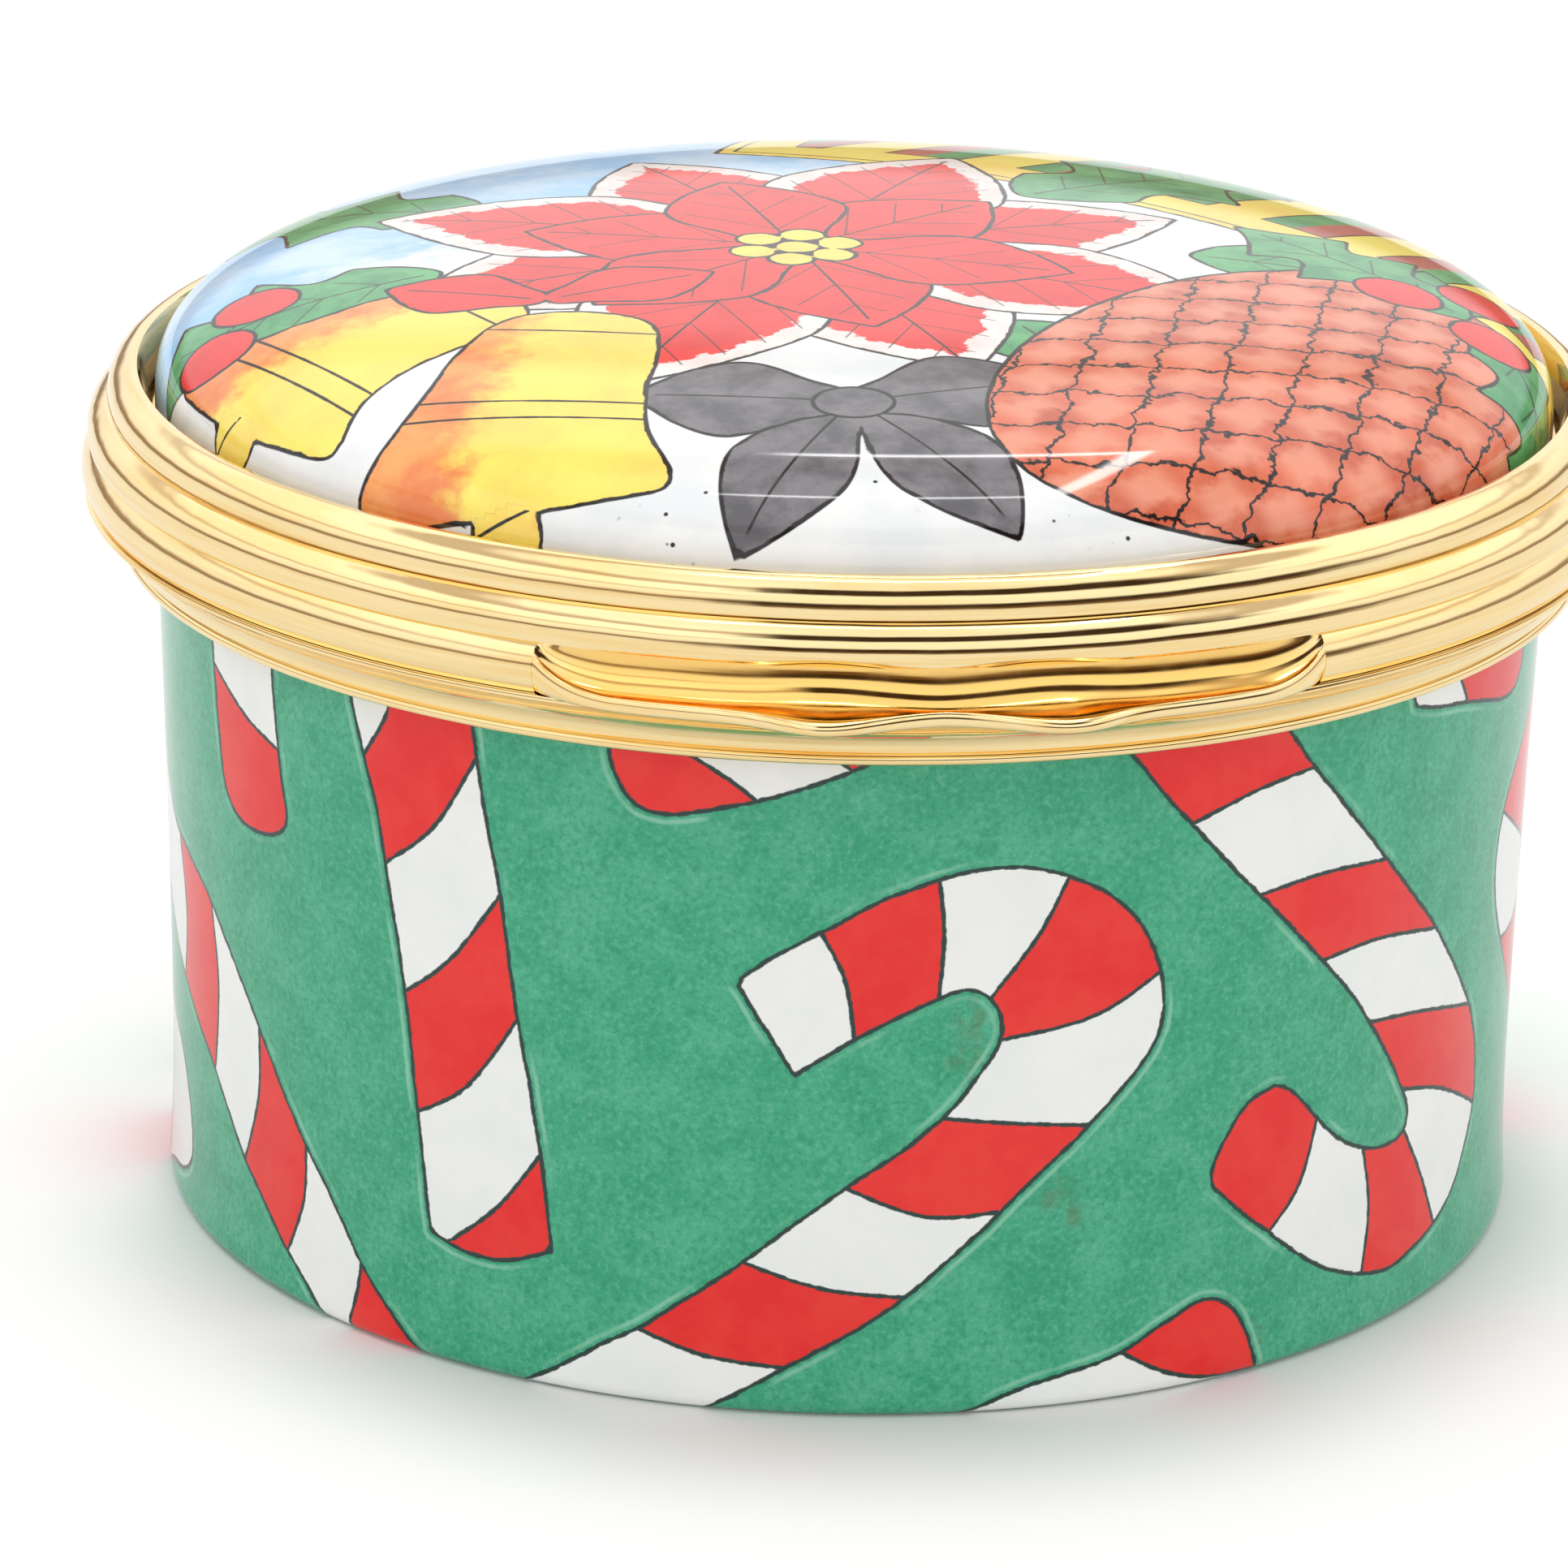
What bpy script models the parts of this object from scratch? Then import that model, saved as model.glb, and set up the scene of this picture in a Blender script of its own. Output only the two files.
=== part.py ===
# Round enamel pill box with a domed lid, two gilt bezels, a thumb piece and a back hinge.
# The box stands on Z = 0 with its front towards -Y and its hinge at the back, towards +Y.
# Sizes are in millimetres and become metres when a mesh is made.

import math

import bmesh
import bpy
from mathutils import Matrix, Vector

MM = 0.001
RING_STEPS = 64
SMOOTH_ANGLE = math.radians(40)

# Clearances
seat_gap = 0.1
lid_gap = 0.1
lid_fit = 0.15
knuckle_gap = 0.12
pin_clearance = 0.04

# Enamelled cup: a slight waist low down and a slight flare up to the rim
waist_radius = 19.5
waist_height = 4.0
foot_flare = 0.15
rim_flare = 0.4
cup_wall = 1.2
cup_floor = 1.3
foot_round = 0.4
inner_round = 2.0

# Base bezel: a ledge over the cup's rim, a coved skirt outside and an upstanding rim inside
parting_height = 20.65
ledge_overhang = 2.0
ledge_plate = 0.8
ledge_edge = 0.15
skirt_wall = 0.9
skirt_depth = 1.55
rim_inset = 0.7
rim_wall = 0.5
rim_height = 1.6

# Lid bezel: three reeds that step in towards the crest, and a ledge for the enamelled lid
reed_heights = (1.34, 1.09, 1.07)
reed_setbacks = (0.15, 0.25, 0.7, 1.3)
reed_bulges = (0.3, 0.45, 0.27)
crest_width = 0.3
crest_drop = 0.2
lid_ledge_height = 1.75
lid_ledge_plate = 0.3
lid_ledge_width = 0.45

# Enamelled lid: a pillow-shaped dome, steep at its edge
dome_gap = 0.4
dome_edge = 0.3
dome_rise = 4.55
dome_wall = 1.2
dome_flatness = 2.6
dome_steepness = 3.1

# Thumb piece: a scooped channel with a wavy lip, let into the lowest reed
thumb_half_angle = 28.8
thumb_depth = 0.9
thumb_height = 1.2
scoop_depth = 0.55
scoop_reach = 0.1
lip_thickness = 0.5
lip_reach = 1.65
shoulder_reach = 0.8
centre_dip = 0.22
lobe_angle = 8.0
lobe_spread = 4.0
dip_spread = 3.0
end_curl_angle = 3.5
thumb_steps = 32

# Hinge: three knuckles on a pin
knuckle_radius = 0.8
pin_radius = 0.4
centre_knuckle_length = 4.4
side_knuckle_length = 3.2
leaf_height = 0.65
leaf_reach = 1.6
pin_head_radius = 0.62
pin_head_length = 0.3
BARREL_STEPS = 24

# Sizes that follow from those above
rim_radius = waist_radius + rim_flare
cup_top = parting_height - ledge_plate - seat_gap
ledge_radius = rim_radius + ledge_overhang
skirt_inner = rim_radius + seat_gap
skirt_outer = skirt_inner + skirt_wall
upstand_outer = rim_radius - rim_inset
upstand_inner = upstand_outer - rim_wall
lid_bottom = parting_height + lid_gap
lid_inner = upstand_outer + lid_fit
lid_ledge_under = lid_bottom + lid_ledge_height
lid_ledge_top = lid_ledge_under + lid_ledge_plate
crest_height = lid_bottom + sum(reed_heights)
crest_outer = ledge_radius - reed_setbacks[3]
crest_inner = crest_outer - crest_width
dome_radius = crest_inner - dome_gap
dome_bottom = lid_ledge_top + seat_gap
hinge_height = parting_height + lid_gap / 2
widest_reed = ledge_radius - reed_setbacks[0] + reed_bulges[0]
hinge_y = widest_reed + knuckle_radius + seat_gap


def arc(centre, radius, start, end, steps):
    """Points on an arc in the (r, z) plane, both ends included, with angles in degrees."""
    points = []
    for step in range(steps + 1):
        angle = math.radians(start + (end - start) * step / steps)
        points.append((centre[0] + radius * math.cos(angle), centre[1] + radius * math.sin(angle)))
    return points


def cup_radius(height):
    """Outer radius of the cup at a height."""
    if height < waist_height:
        return waist_radius + foot_flare * (1 - height / waist_height) ** 2
    share = (height - waist_height) / (cup_top - waist_height)
    return waist_radius + rim_flare * share ** 1.4


def cup_outline():
    """Section of the cup from the middle of its foot, up the outside and down the inside."""
    foot_radius = cup_radius(foot_round)
    points = [(0, 0)]
    points += arc((foot_radius - foot_round, foot_round), foot_round, -90, 0, 4)
    levels = 6
    for level in range(1, levels + 1):
        height = foot_round + (cup_top - foot_round) * level / levels
        points.append((cup_radius(height), height))
    points.append((rim_radius - cup_wall, cup_top))
    inner_foot = cup_radius(inner_round) - cup_wall
    points += arc((inner_foot - inner_round, cup_floor + inner_round), inner_round, 0, -90, 4)
    points.append((0, cup_floor))
    return points


def base_bezel_face(offset=0.0, steps=5):
    """Outer face of the base bezel from its ledge down the cove to the foot of the skirt."""
    points = [(ledge_radius + offset, parting_height)]
    cove_top = parting_height - ledge_edge
    skirt_foot = parting_height - skirt_depth
    for step in range(steps + 1):
        share = step / steps
        radius = skirt_outer + (ledge_radius - skirt_outer) * (1 - share) ** 2
        points.append((radius + offset, cove_top + (skirt_foot - cove_top) * share))
    return points


def base_bezel_outline():
    """Closed section of the base bezel."""
    rim_top = parting_height + rim_height
    under_ledge = cup_top + seat_gap
    points = base_bezel_face()
    points += [(skirt_inner, parting_height - skirt_depth), (skirt_inner, under_ledge)]
    points += [(upstand_inner, under_ledge), (upstand_inner, rim_top)]
    points += [(upstand_outer, rim_top), (upstand_outer, parting_height)]
    return points


def lid_bezel_face(offset=0.0, steps=4):
    """Outer face of the lid bezel from its foot up over the three reeds to the crest."""
    low = Vector((ledge_radius - reed_setbacks[0], lid_bottom))
    points = [(low.x + offset, low.y)]
    for index, height in enumerate(reed_heights):
        high = Vector((ledge_radius - reed_setbacks[index + 1], low.y + height))
        along = high - low
        outward = Vector((along.y, -along.x)).normalized()
        for step in range(1, steps + 1):
            share = step / steps
            point = low + along * share + outward * reed_bulges[index] * math.sin(math.pi * share)
            points.append((point.x + offset, point.y))
        low = high
    return points


def lid_bezel_outline():
    """Closed section of the lid bezel."""
    points = lid_bezel_face()
    points += [(crest_inner, crest_height - crest_drop)]
    points += [(dome_radius + seat_gap, lid_ledge_top), (lid_inner - lid_ledge_width, lid_ledge_top)]
    points += [(lid_inner - lid_ledge_width, lid_ledge_under), (lid_inner, lid_ledge_under)]
    points.append((lid_inner, lid_bottom))
    return points


def dome_curve(radius, foot, rise, steps):
    """Points of the dome's curve from its edge to its apex."""
    points = []
    for step in range(steps + 1):
        angle = math.pi / 2 * step / steps
        across = abs(math.cos(angle)) ** (2 / dome_flatness)
        up = math.sin(angle) ** (2 / dome_steepness)
        points.append((radius * across if step < steps else 0, foot + rise * up))
    return points


def dome_outline():
    """Section of the enamelled lid from its apex down the outer curve, and up the inner one."""
    edge_top = dome_bottom + dome_edge
    inner_rise = dome_edge + dome_rise - dome_wall
    points = list(reversed(dome_curve(dome_radius, edge_top, dome_rise, 12)))
    points.append((dome_radius, dome_bottom))
    points += dome_curve(dome_radius - dome_wall, dome_bottom, inner_rise, 9)
    return points


def lip_projection(degrees):
    """How far the lip stands out past the widest reed at an angle from the front."""
    lobe = (lip_reach - shoulder_reach) * math.exp(-((abs(degrees) - lobe_angle) / lobe_spread) ** 2)
    dip = centre_dip * math.exp(-(degrees / dip_spread) ** 2)
    ends = max(1 - abs(degrees / (thumb_half_angle + 0.1)) ** 6, 0)
    return (shoulder_reach + lobe - dip) * math.sqrt(ends)


def lip_curl(degrees):
    """How far the lip curls up at the two ends of the scoop."""
    share = max(abs(degrees) - thumb_half_angle + end_curl_angle, 0) / end_curl_angle
    return (thumb_height - lip_thickness) * share ** 2


def thumb_outline():
    """Closed section of the thumb piece where its lip stands out furthest."""
    inner = widest_reed - thumb_depth + seat_gap
    foot = lid_bottom + seat_gap / 2
    top = foot + thumb_height
    lip_radius = lip_thickness / 2
    lip_centre = (widest_reed + lip_reach - lip_radius, foot + lip_radius)
    points = [(inner, foot), (inner, top)]
    upper = (ledge_radius - reed_setbacks[1], top)
    floor = (widest_reed + scoop_reach, top - scoop_depth)
    for step in range(6):
        share = step / 5
        radius = upper[0] + (floor[0] - upper[0]) * share
        points.append((radius, upper[1] + (floor[1] - upper[1]) * math.sin(share * math.pi / 2)))
    points += arc(lip_centre, lip_radius, 100, -90, 7)
    return points


def mesh_object(name, bm, colour, roughness, metallic):
    """Make an object with its own Principled material from a bmesh in millimetres."""
    bmesh.ops.remove_doubles(bm, verts=bm.verts, dist=1e-5)
    bmesh.ops.recalc_face_normals(bm, faces=bm.faces)
    bmesh.ops.scale(bm, vec=(MM, MM, MM), verts=bm.verts)
    mesh = bpy.data.meshes.new(name)
    bm.to_mesh(mesh)
    bm.free()
    mesh.shade_smooth()
    mesh.set_sharp_from_angle(angle=SMOOTH_ANGLE)
    material = bpy.data.materials.new(name)
    material.use_nodes = True
    shader = material.node_tree.nodes["Principled BSDF"]
    shader.inputs["Base Color"].default_value = (*colour, 1)
    shader.inputs["Roughness"].default_value = roughness
    shader.inputs["Metallic"].default_value = metallic
    mesh.materials.append(material)
    piece = bpy.data.objects.new(name, mesh)
    bpy.context.collection.objects.link(piece)
    return piece


def turned(outline, closed, start=0.0, sweep=360.0, steps=RING_STEPS):
    """Spin an outline of (r, z) points about the Z axis, with capped ends if the sweep is partial."""
    bm = bmesh.new()
    heading = math.radians(start)
    verts = [bm.verts.new((r * math.cos(heading), r * math.sin(heading), z)) for r, z in outline]
    edges = [bm.edges.new(pair) for pair in zip(verts, verts[1:])]
    if closed:
        edges.append(bm.edges.new((verts[-1], verts[0])))
    full = sweep == 360.0
    bmesh.ops.spin(bm, geom=verts + edges, cent=(0, 0, 0), axis=(0, 0, 1),
                   angle=math.radians(sweep), steps=steps, use_merge=full)
    bmesh.ops.remove_doubles(bm, verts=bm.verts, dist=1e-5)
    if not full:
        ends = [edge for edge in bm.edges if edge.is_boundary]
        bmesh.ops.holes_fill(bm, edges=ends)
    return bm


def bar_along_x(radius, length, steps=BARREL_STEPS):
    """A round bar along X, centred on the hinge axis."""
    bm = bmesh.new()
    bmesh.ops.create_cone(bm, cap_ends=True, segments=steps, radius1=radius, radius2=radius, depth=length)
    bmesh.ops.rotate(bm, cent=(0, 0, 0), matrix=Matrix.Rotation(math.pi / 2, 3, "Y"), verts=bm.verts)
    return bm


def block(low, high):
    """A box between two corners."""
    bm = bmesh.new()
    bmesh.ops.create_cube(bm, size=1)
    size = [top - bottom for bottom, top in zip(low, high)]
    middle = [(top + bottom) / 2 for bottom, top in zip(low, high)]
    bmesh.ops.scale(bm, vec=size, verts=bm.verts)
    bmesh.ops.translate(bm, vec=middle, verts=bm.verts)
    return bm


def cutter(name, bm):
    """A guide solid that shapes another piece and isn't part of the box."""
    guide = mesh_object(name, bm, (0.5, 0.5, 0.5), 0.5, 0)
    guide.hide_render = True
    guide.display_type = "WIRE"
    return guide


def combine(piece, guide, operation):
    """Join a guide solid to a piece, or cut it away."""
    boolean = piece.modifiers.new(guide.name, "BOOLEAN")
    boolean.operation = operation
    boolean.solver = "EXACT"
    boolean.object = guide


def hang_on(piece, parent):
    """Parent a piece to an empty and leave it where it stands."""
    piece.parent = parent
    piece.matrix_parent_inverse = Matrix.Translation(-parent.location)


def make_cup():
    """The enamelled copper cup."""
    return mesh_object("enamel_body", turned(cup_outline(), False), (0.07, 0.38, 0.22), 0.15, 0)


def make_base_bezel():
    """The gilt band round the cup's rim."""
    return mesh_object("base_bezel", turned(base_bezel_outline(), True), (0.9, 0.62, 0.25), 0.15, 1)


def make_lid_bezel():
    """The gilt band round the lid, cut away at the front of its lowest reed for the thumb piece."""
    band = mesh_object("lid_bezel", turned(lid_bezel_outline(), True), (0.9, 0.62, 0.25), 0.15, 1)
    notch_inner = widest_reed - thumb_depth
    notch_outer = widest_reed + lip_reach
    notch_top = lid_bottom + seat_gap * 1.5 + thumb_height
    notch = [(notch_inner, parting_height - ledge_plate), (notch_outer, parting_height - ledge_plate)]
    notch += [(notch_outer, notch_top), (notch_inner, notch_top)]
    half = thumb_half_angle + math.degrees(seat_gap / widest_reed)
    guide = cutter("thumb_notch", turned(notch, True, -90 - half, 2 * half, thumb_steps))
    combine(band, guide, "DIFFERENCE")
    return band


def make_thumb_piece():
    """The scooped thumb piece: one section swept round the front, its lip drawn to a wavy edge."""
    bm = turned(thumb_outline(), True, -90 - thumb_half_angle, 2 * thumb_half_angle, thumb_steps)
    scoop_edge = widest_reed - thumb_depth / 2
    full = widest_reed + lip_reach - scoop_edge
    for vert in bm.verts:
        radius = math.hypot(vert.co.x, vert.co.y)
        if radius > scoop_edge:
            degrees = math.degrees(math.atan2(vert.co.x, -vert.co.y))
            share = (radius - scoop_edge) / full
            drawn = scoop_edge + share * (widest_reed + lip_projection(degrees) - scoop_edge)
            vert.co.x *= drawn / radius
            vert.co.y *= drawn / radius
            vert.co.z += share * lip_curl(degrees)
    return mesh_object("thumb_piece", bm, (0.9, 0.6, 0.22), 0.15, 1)


def make_enamel_lid():
    """The domed, enamelled copper lid."""
    return mesh_object("enamel_lid", turned(dome_outline(), False), (0.85, 0.3, 0.25), 0.15, 0)


def make_knuckle(name, centre_x, length, leaf_low, leaf_high, envelope, bore):
    """A hinge knuckle with its leaf, shaped to the band it is soldered to."""
    barrel = bar_along_x(knuckle_radius, length)
    bmesh.ops.translate(barrel, vec=(centre_x, hinge_y, hinge_height), verts=barrel.verts)
    knuckle = mesh_object(name, barrel, (0.9, 0.62, 0.25), 0.2, 1)
    half = length / 2
    leaf = block((centre_x - half, ledge_radius - leaf_reach, leaf_low), (centre_x + half, hinge_y, leaf_high))
    combine(knuckle, cutter(name + "_leaf", leaf), "UNION")
    combine(knuckle, envelope, "DIFFERENCE")
    combine(knuckle, bore, "DIFFERENCE")
    return knuckle


def envelope_guide(name, face, low, high):
    """A solid drum of a band's outer face, one seat gap larger, to shape a leaf's inner side."""
    points = [(0, low), (face[0][0], low)] + face + [(face[-1][0], high), (0, high)]
    return cutter(name, turned(points, False))


def make_hinge():
    """The three knuckles and the pin; returns the middle knuckle, which belongs to the lid."""
    bore_bar = bar_along_x(pin_radius + pin_clearance, centre_knuckle_length + 4 * side_knuckle_length)
    bmesh.ops.translate(bore_bar, vec=(0, hinge_y, hinge_height), verts=bore_bar.verts)
    bore = cutter("pin_bore", bore_bar)

    margin = 2 * leaf_height
    base_face = list(reversed(base_bezel_face(seat_gap)))
    base_drum = envelope_guide("base_drum", base_face, base_face[0][1] - margin, parting_height + margin)
    lid_face = lid_bezel_face(seat_gap)
    lid_drum = envelope_guide("lid_drum", lid_face, lid_bottom - margin, crest_height + margin)

    side_x = centre_knuckle_length / 2 + knuckle_gap + side_knuckle_length / 2
    base_leaf_top = parting_height - seat_gap / 2
    for name, x in (("hinge_knuckle_left", -side_x), ("hinge_knuckle_right", side_x)):
        make_knuckle(name, x, side_knuckle_length, base_leaf_top - leaf_height, base_leaf_top, base_drum, bore)
    lid_leaf_foot = lid_bottom + seat_gap / 2
    middle = make_knuckle("hinge_knuckle_centre", 0, centre_knuckle_length, lid_leaf_foot,
                          lid_leaf_foot + leaf_height, lid_drum, bore)

    half = side_x + side_knuckle_length / 2 + seat_gap
    outline = [(0, -half - pin_head_length), (pin_head_radius * 0.7, -half - pin_head_length)]
    outline += [(pin_head_radius, -half - pin_head_length / 2), (pin_head_radius, -half)]
    outline += [(pin_radius, -half)]
    outline += [(radius, -height) for radius, height in reversed(outline)]
    pin = turned(outline, False, steps=BARREL_STEPS)
    bmesh.ops.rotate(pin, cent=(0, 0, 0), matrix=Matrix.Rotation(math.pi / 2, 3, "Y"), verts=pin.verts)
    bmesh.ops.translate(pin, vec=(0, hinge_y, hinge_height), verts=pin.verts)
    mesh_object("hinge_pin", pin, (0.85, 0.6, 0.3), 0.25, 1)
    return middle


def main():
    """Clear the scene and build the box closed."""
    for old in list(bpy.data.objects):
        bpy.data.objects.remove(old, do_unlink=True)
    hinge_axis = bpy.data.objects.new("lid_hinge_axis", None)
    hinge_axis.location = Vector((0, hinge_y, hinge_height)) * MM
    bpy.context.collection.objects.link(hinge_axis)
    make_cup()
    make_base_bezel()
    moving = [make_lid_bezel(), make_thumb_piece(), make_enamel_lid(), make_hinge()]
    for piece in moving:
        hang_on(piece, hinge_axis)


main()
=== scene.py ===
"""Looks of the round enamel pill box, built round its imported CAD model.

Lengths are in millimetres and become metres when a mesh is made. The box stands on Z = 0 with its
thumb piece towards -Y and its hinge towards +Y.
"""

import logging
import math
from dataclasses import dataclass
from enum import Enum

import bmesh
import bpy
import numpy as np
from mathutils import Matrix, Vector


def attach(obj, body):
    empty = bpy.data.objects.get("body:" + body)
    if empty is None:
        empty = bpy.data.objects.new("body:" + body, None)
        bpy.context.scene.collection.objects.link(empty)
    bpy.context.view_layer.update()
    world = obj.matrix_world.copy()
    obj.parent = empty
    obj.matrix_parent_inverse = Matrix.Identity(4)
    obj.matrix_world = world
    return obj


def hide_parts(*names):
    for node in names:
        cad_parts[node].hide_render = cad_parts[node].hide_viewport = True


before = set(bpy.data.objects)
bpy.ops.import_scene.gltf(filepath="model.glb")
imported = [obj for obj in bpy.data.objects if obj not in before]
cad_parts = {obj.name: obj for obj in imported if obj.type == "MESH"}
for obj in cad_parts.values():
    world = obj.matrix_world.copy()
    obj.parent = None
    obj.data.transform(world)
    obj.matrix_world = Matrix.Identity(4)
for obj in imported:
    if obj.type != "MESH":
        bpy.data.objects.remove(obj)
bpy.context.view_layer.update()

log = logging.getLogger("pill_box")

MM = 0.001
FAR = 9.0
NEAR_MARGIN = 1.5
SHARP_ANGLE = math.radians(38)
SEAT_GAP = 0.1
SPIN_SECTORS = 8
FULL_TURN = 360.0
WELD = 1e-4
NO_LENGTH = 1e-12
NO_RISE = 1e-9
NEAR_AXIS = 1e-6
FACES_UP = 0.02
BAKE_LAYER = "OFBake"
PARTING_HEIGHT = 20.65
RIM_RADIUS = 19.9
LEDGE_RADIUS = 21.9
LID_BOTTOM = PARTING_HEIGHT + 0.1
LIP_STEPS = 14
WIDEST_REED = 22.05

Point = tuple[float, float]
Outline = list[Point]
Colour = tuple[float, float, float]
Source = bpy.types.NodeSocket | float


class Body(Enum):
    """The two CAD bodies that pieces ride on."""

    BASE = "base"
    LID = "lid"


class Slot(Enum):
    """The record's material slots."""

    GREEN_ENAMEL = "green_enamel"
    LID_ENAMEL = "lid_enamel"
    GILT = "gilt_metal"
    WIRE = "brass_wire"


def paint(red: int, green: int, blue: int) -> Colour:
    """Turn a screen colour into the linear colour that a shader takes.

    Args:
        red: Red, 0 to 255.
        green: Green, 0 to 255.
        blue: Blue, 0 to 255.

    Returns:
        The linear colour.
    """
    shares = (channel / 255 for channel in (red, green, blue))
    return tuple(s / 12.92 if s <= 0.04045 else ((s + 0.055) / 1.055) ** 2.4 for s in shares)


INK = paint(26, 54, 50)
LID_INK = paint(30, 24, 26)
ENAMEL_WHITE = paint(236, 237, 234)
ENAMEL_IOR = 1.5
PRINT_EDGE = 0.02


# Drawing: outlines in a plane, and how far each point of a mesh lies from them


def smooth_loop(points: Outline, closed: bool = True, steps: int = 5) -> np.ndarray:
    """Draw a smooth line through points, with a corner wherever a point is given twice.

    Args:
        points: Points of the outline in order.
        closed: Whether the last point joins the first.
        steps: Pieces between two neighbouring points.

    Returns:
        An array of points, one row each.
    """
    knots = np.array(points, float)
    count = len(knots)
    drawn = []
    for index in range(count if closed else count - 1):
        picks = [index - 1, index, index + 1, index + 2]
        if closed:
            before, start, end, after = (knots[pick % count] for pick in picks)
        else:
            before, start, end, after = (knots[min(max(pick, 0), count - 1)] for pick in picks)
        if np.allclose(start, end):
            continue
        for step in range(steps):
            t = step / steps
            leave, arrive = (end - before) / 2, (after - start) / 2
            drawn.append((2 * t**3 - 3 * t**2 + 1) * start + (t**3 - 2 * t**2 + t) * leave
                         + (3 * t**2 - 2 * t**3) * end + (t**3 - t**2) * arrive)
    if not closed:
        drawn.append(knots[-1])
    return np.array(drawn)


def segment_offsets(points: np.ndarray, starts: np.ndarray, ends: np.ndarray) -> tuple:
    """Measure points against line segments.

    Args:
        points: Points, one row each.
        starts: Where each segment starts.
        ends: Where each segment ends.

    Returns:
        The distance to the nearest segment, and the index of that segment.
    """
    along = ends - starts
    length = np.maximum((along**2).sum(-1), NO_LENGTH)
    reach = points[:, None, :] - starts[None]
    share = np.clip((reach * along[None]).sum(-1) / length, 0, 1)
    gaps = np.linalg.norm(reach - along[None] * share[..., None], axis=-1)
    nearest = gaps.argmin(1)
    return gaps[np.arange(len(points)), nearest], nearest


def signed_distance(points: np.ndarray, loop: np.ndarray) -> np.ndarray:
    """Measure how far points lie outside a closed outline, negative inside it.

    Args:
        points: Points, one row each.
        loop: The outline's points, one row each.

    Returns:
        The signed distance of each point, at most FAR.
    """
    distance = np.full(len(points), FAR)
    low, high = loop.min(0) - NEAR_MARGIN, loop.max(0) + NEAR_MARGIN
    near = np.flatnonzero(((points > low) & (points < high)).all(1))
    if len(near) == 0:
        return distance
    close = points[near]
    ends = np.roll(loop, -1, axis=0)
    gap, _ = segment_offsets(close, loop, ends)
    rise = ends[:, 1] - loop[:, 1]
    rise = np.where(np.abs(rise) < NO_RISE, NO_RISE, rise)
    spans = (loop[None, :, 1] > close[:, None, 1]) != (ends[None, :, 1] > close[:, None, 1])
    share = (close[:, None, 1] - loop[None, :, 1]) / rise[None]
    left = close[:, None, 0] < loop[None, :, 0] + share * (ends - loop)[None, :, 0]
    inside = (spans & left).sum(1) % 2 == 1
    distance[near] = np.where(inside, -gap, gap)
    return distance


def side_distance(points: np.ndarray, line: np.ndarray) -> np.ndarray:
    """Measure points against an open line, positive on its left.

    Args:
        points: Points, one row each.
        line: The line's points, one row each.

    Returns:
        The signed distance of each point.
    """
    starts, ends = line[:-1], line[1:]
    gap, nearest = segment_offsets(points, starts, ends)
    along = (ends - starts)[nearest]
    reach = points - starts[nearest]
    left = along[:, 0] * reach[:, 1] - along[:, 1] * reach[:, 0] > 0
    return np.where(left, gap, -gap)


# Meshes


def turned(
    outline: Outline, closed: bool, start: float, sweep: float, steps: int
) -> bmesh.types.BMesh:
    """Spin a section about the Z axis, with capped ends where the sweep is partial.

    A full turn is spun as one sector and copied round, because a single long spin is much slower.

    Args:
        outline: Section as (radius, height) points.
        closed: Whether the section's last point joins its first.
        start: Angle that the spin starts at, in degrees.
        sweep: Angle that it covers, in degrees.
        steps: Facets of the sweep.

    Returns:
        The turned bmesh, in millimetres.
    """
    bm = bmesh.new()
    heading = math.radians(start)
    verts = [bm.verts.new((r * math.cos(heading), r * math.sin(heading), z)) for r, z in outline]
    edges = [bm.edges.new(pair) for pair in zip(verts, verts[1:])]
    if closed:
        edges.append(bm.edges.new((verts[-1], verts[0])))
    full = sweep == FULL_TURN
    sectors = SPIN_SECTORS if full else 1
    bmesh.ops.spin(bm, geom=verts + edges, cent=(0, 0, 0), axis=(0, 0, 1),
                   angle=math.radians(sweep / sectors), steps=steps // sectors)
    if full:
        bmesh.ops.spin(
            bm, geom=bm.verts[:] + bm.edges[:] + bm.faces[:], cent=(0, 0, 0), axis=(0, 0, 1),
            angle=math.radians(sweep - sweep / sectors), steps=sectors - 1, use_duplicate=True
        )
    bmesh.ops.remove_doubles(bm, verts=bm.verts, dist=WELD)
    if not full:
        bmesh.ops.holes_fill(bm, edges=[edge for edge in bm.edges if edge.is_boundary])
    return bm


def arc(centre: Point, radius: float, start: float, end: float, steps: int) -> Outline:
    """List points on an arc, both ends included.

    Args:
        centre: Centre of the arc.
        radius: Radius of the arc.
        start: Angle of its first point, in degrees.
        end: Angle of its last point, in degrees.
        steps: Pieces of the arc.

    Returns:
        The arc's points.
    """
    angles = [math.radians(start + (end - start) * step / steps) for step in range(steps + 1)]
    return [(centre[0] + radius * math.cos(a), centre[1] + radius * math.sin(a)) for a in angles]


def mesh_piece(name: str, bm: bmesh.types.BMesh) -> bpy.types.Object:
    """Make an object in metres from a bmesh in millimetres.

    Args:
        name: Name of the piece.
        bm: Its shape, which is freed.

    Returns:
        The new object, at the origin.
    """
    bmesh.ops.remove_doubles(bm, verts=bm.verts, dist=WELD)
    bmesh.ops.recalc_face_normals(bm, faces=bm.faces)
    bmesh.ops.scale(bm, vec=(MM, MM, MM), verts=bm.verts)
    mesh = bpy.data.meshes.new(name)
    bm.to_mesh(mesh)
    bm.free()
    mesh.shade_smooth()
    mesh.set_sharp_from_angle(angle=SHARP_ANGLE)
    piece = bpy.data.objects.new(name, mesh)
    bpy.context.scene.collection.objects.link(piece)
    return piece


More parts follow.
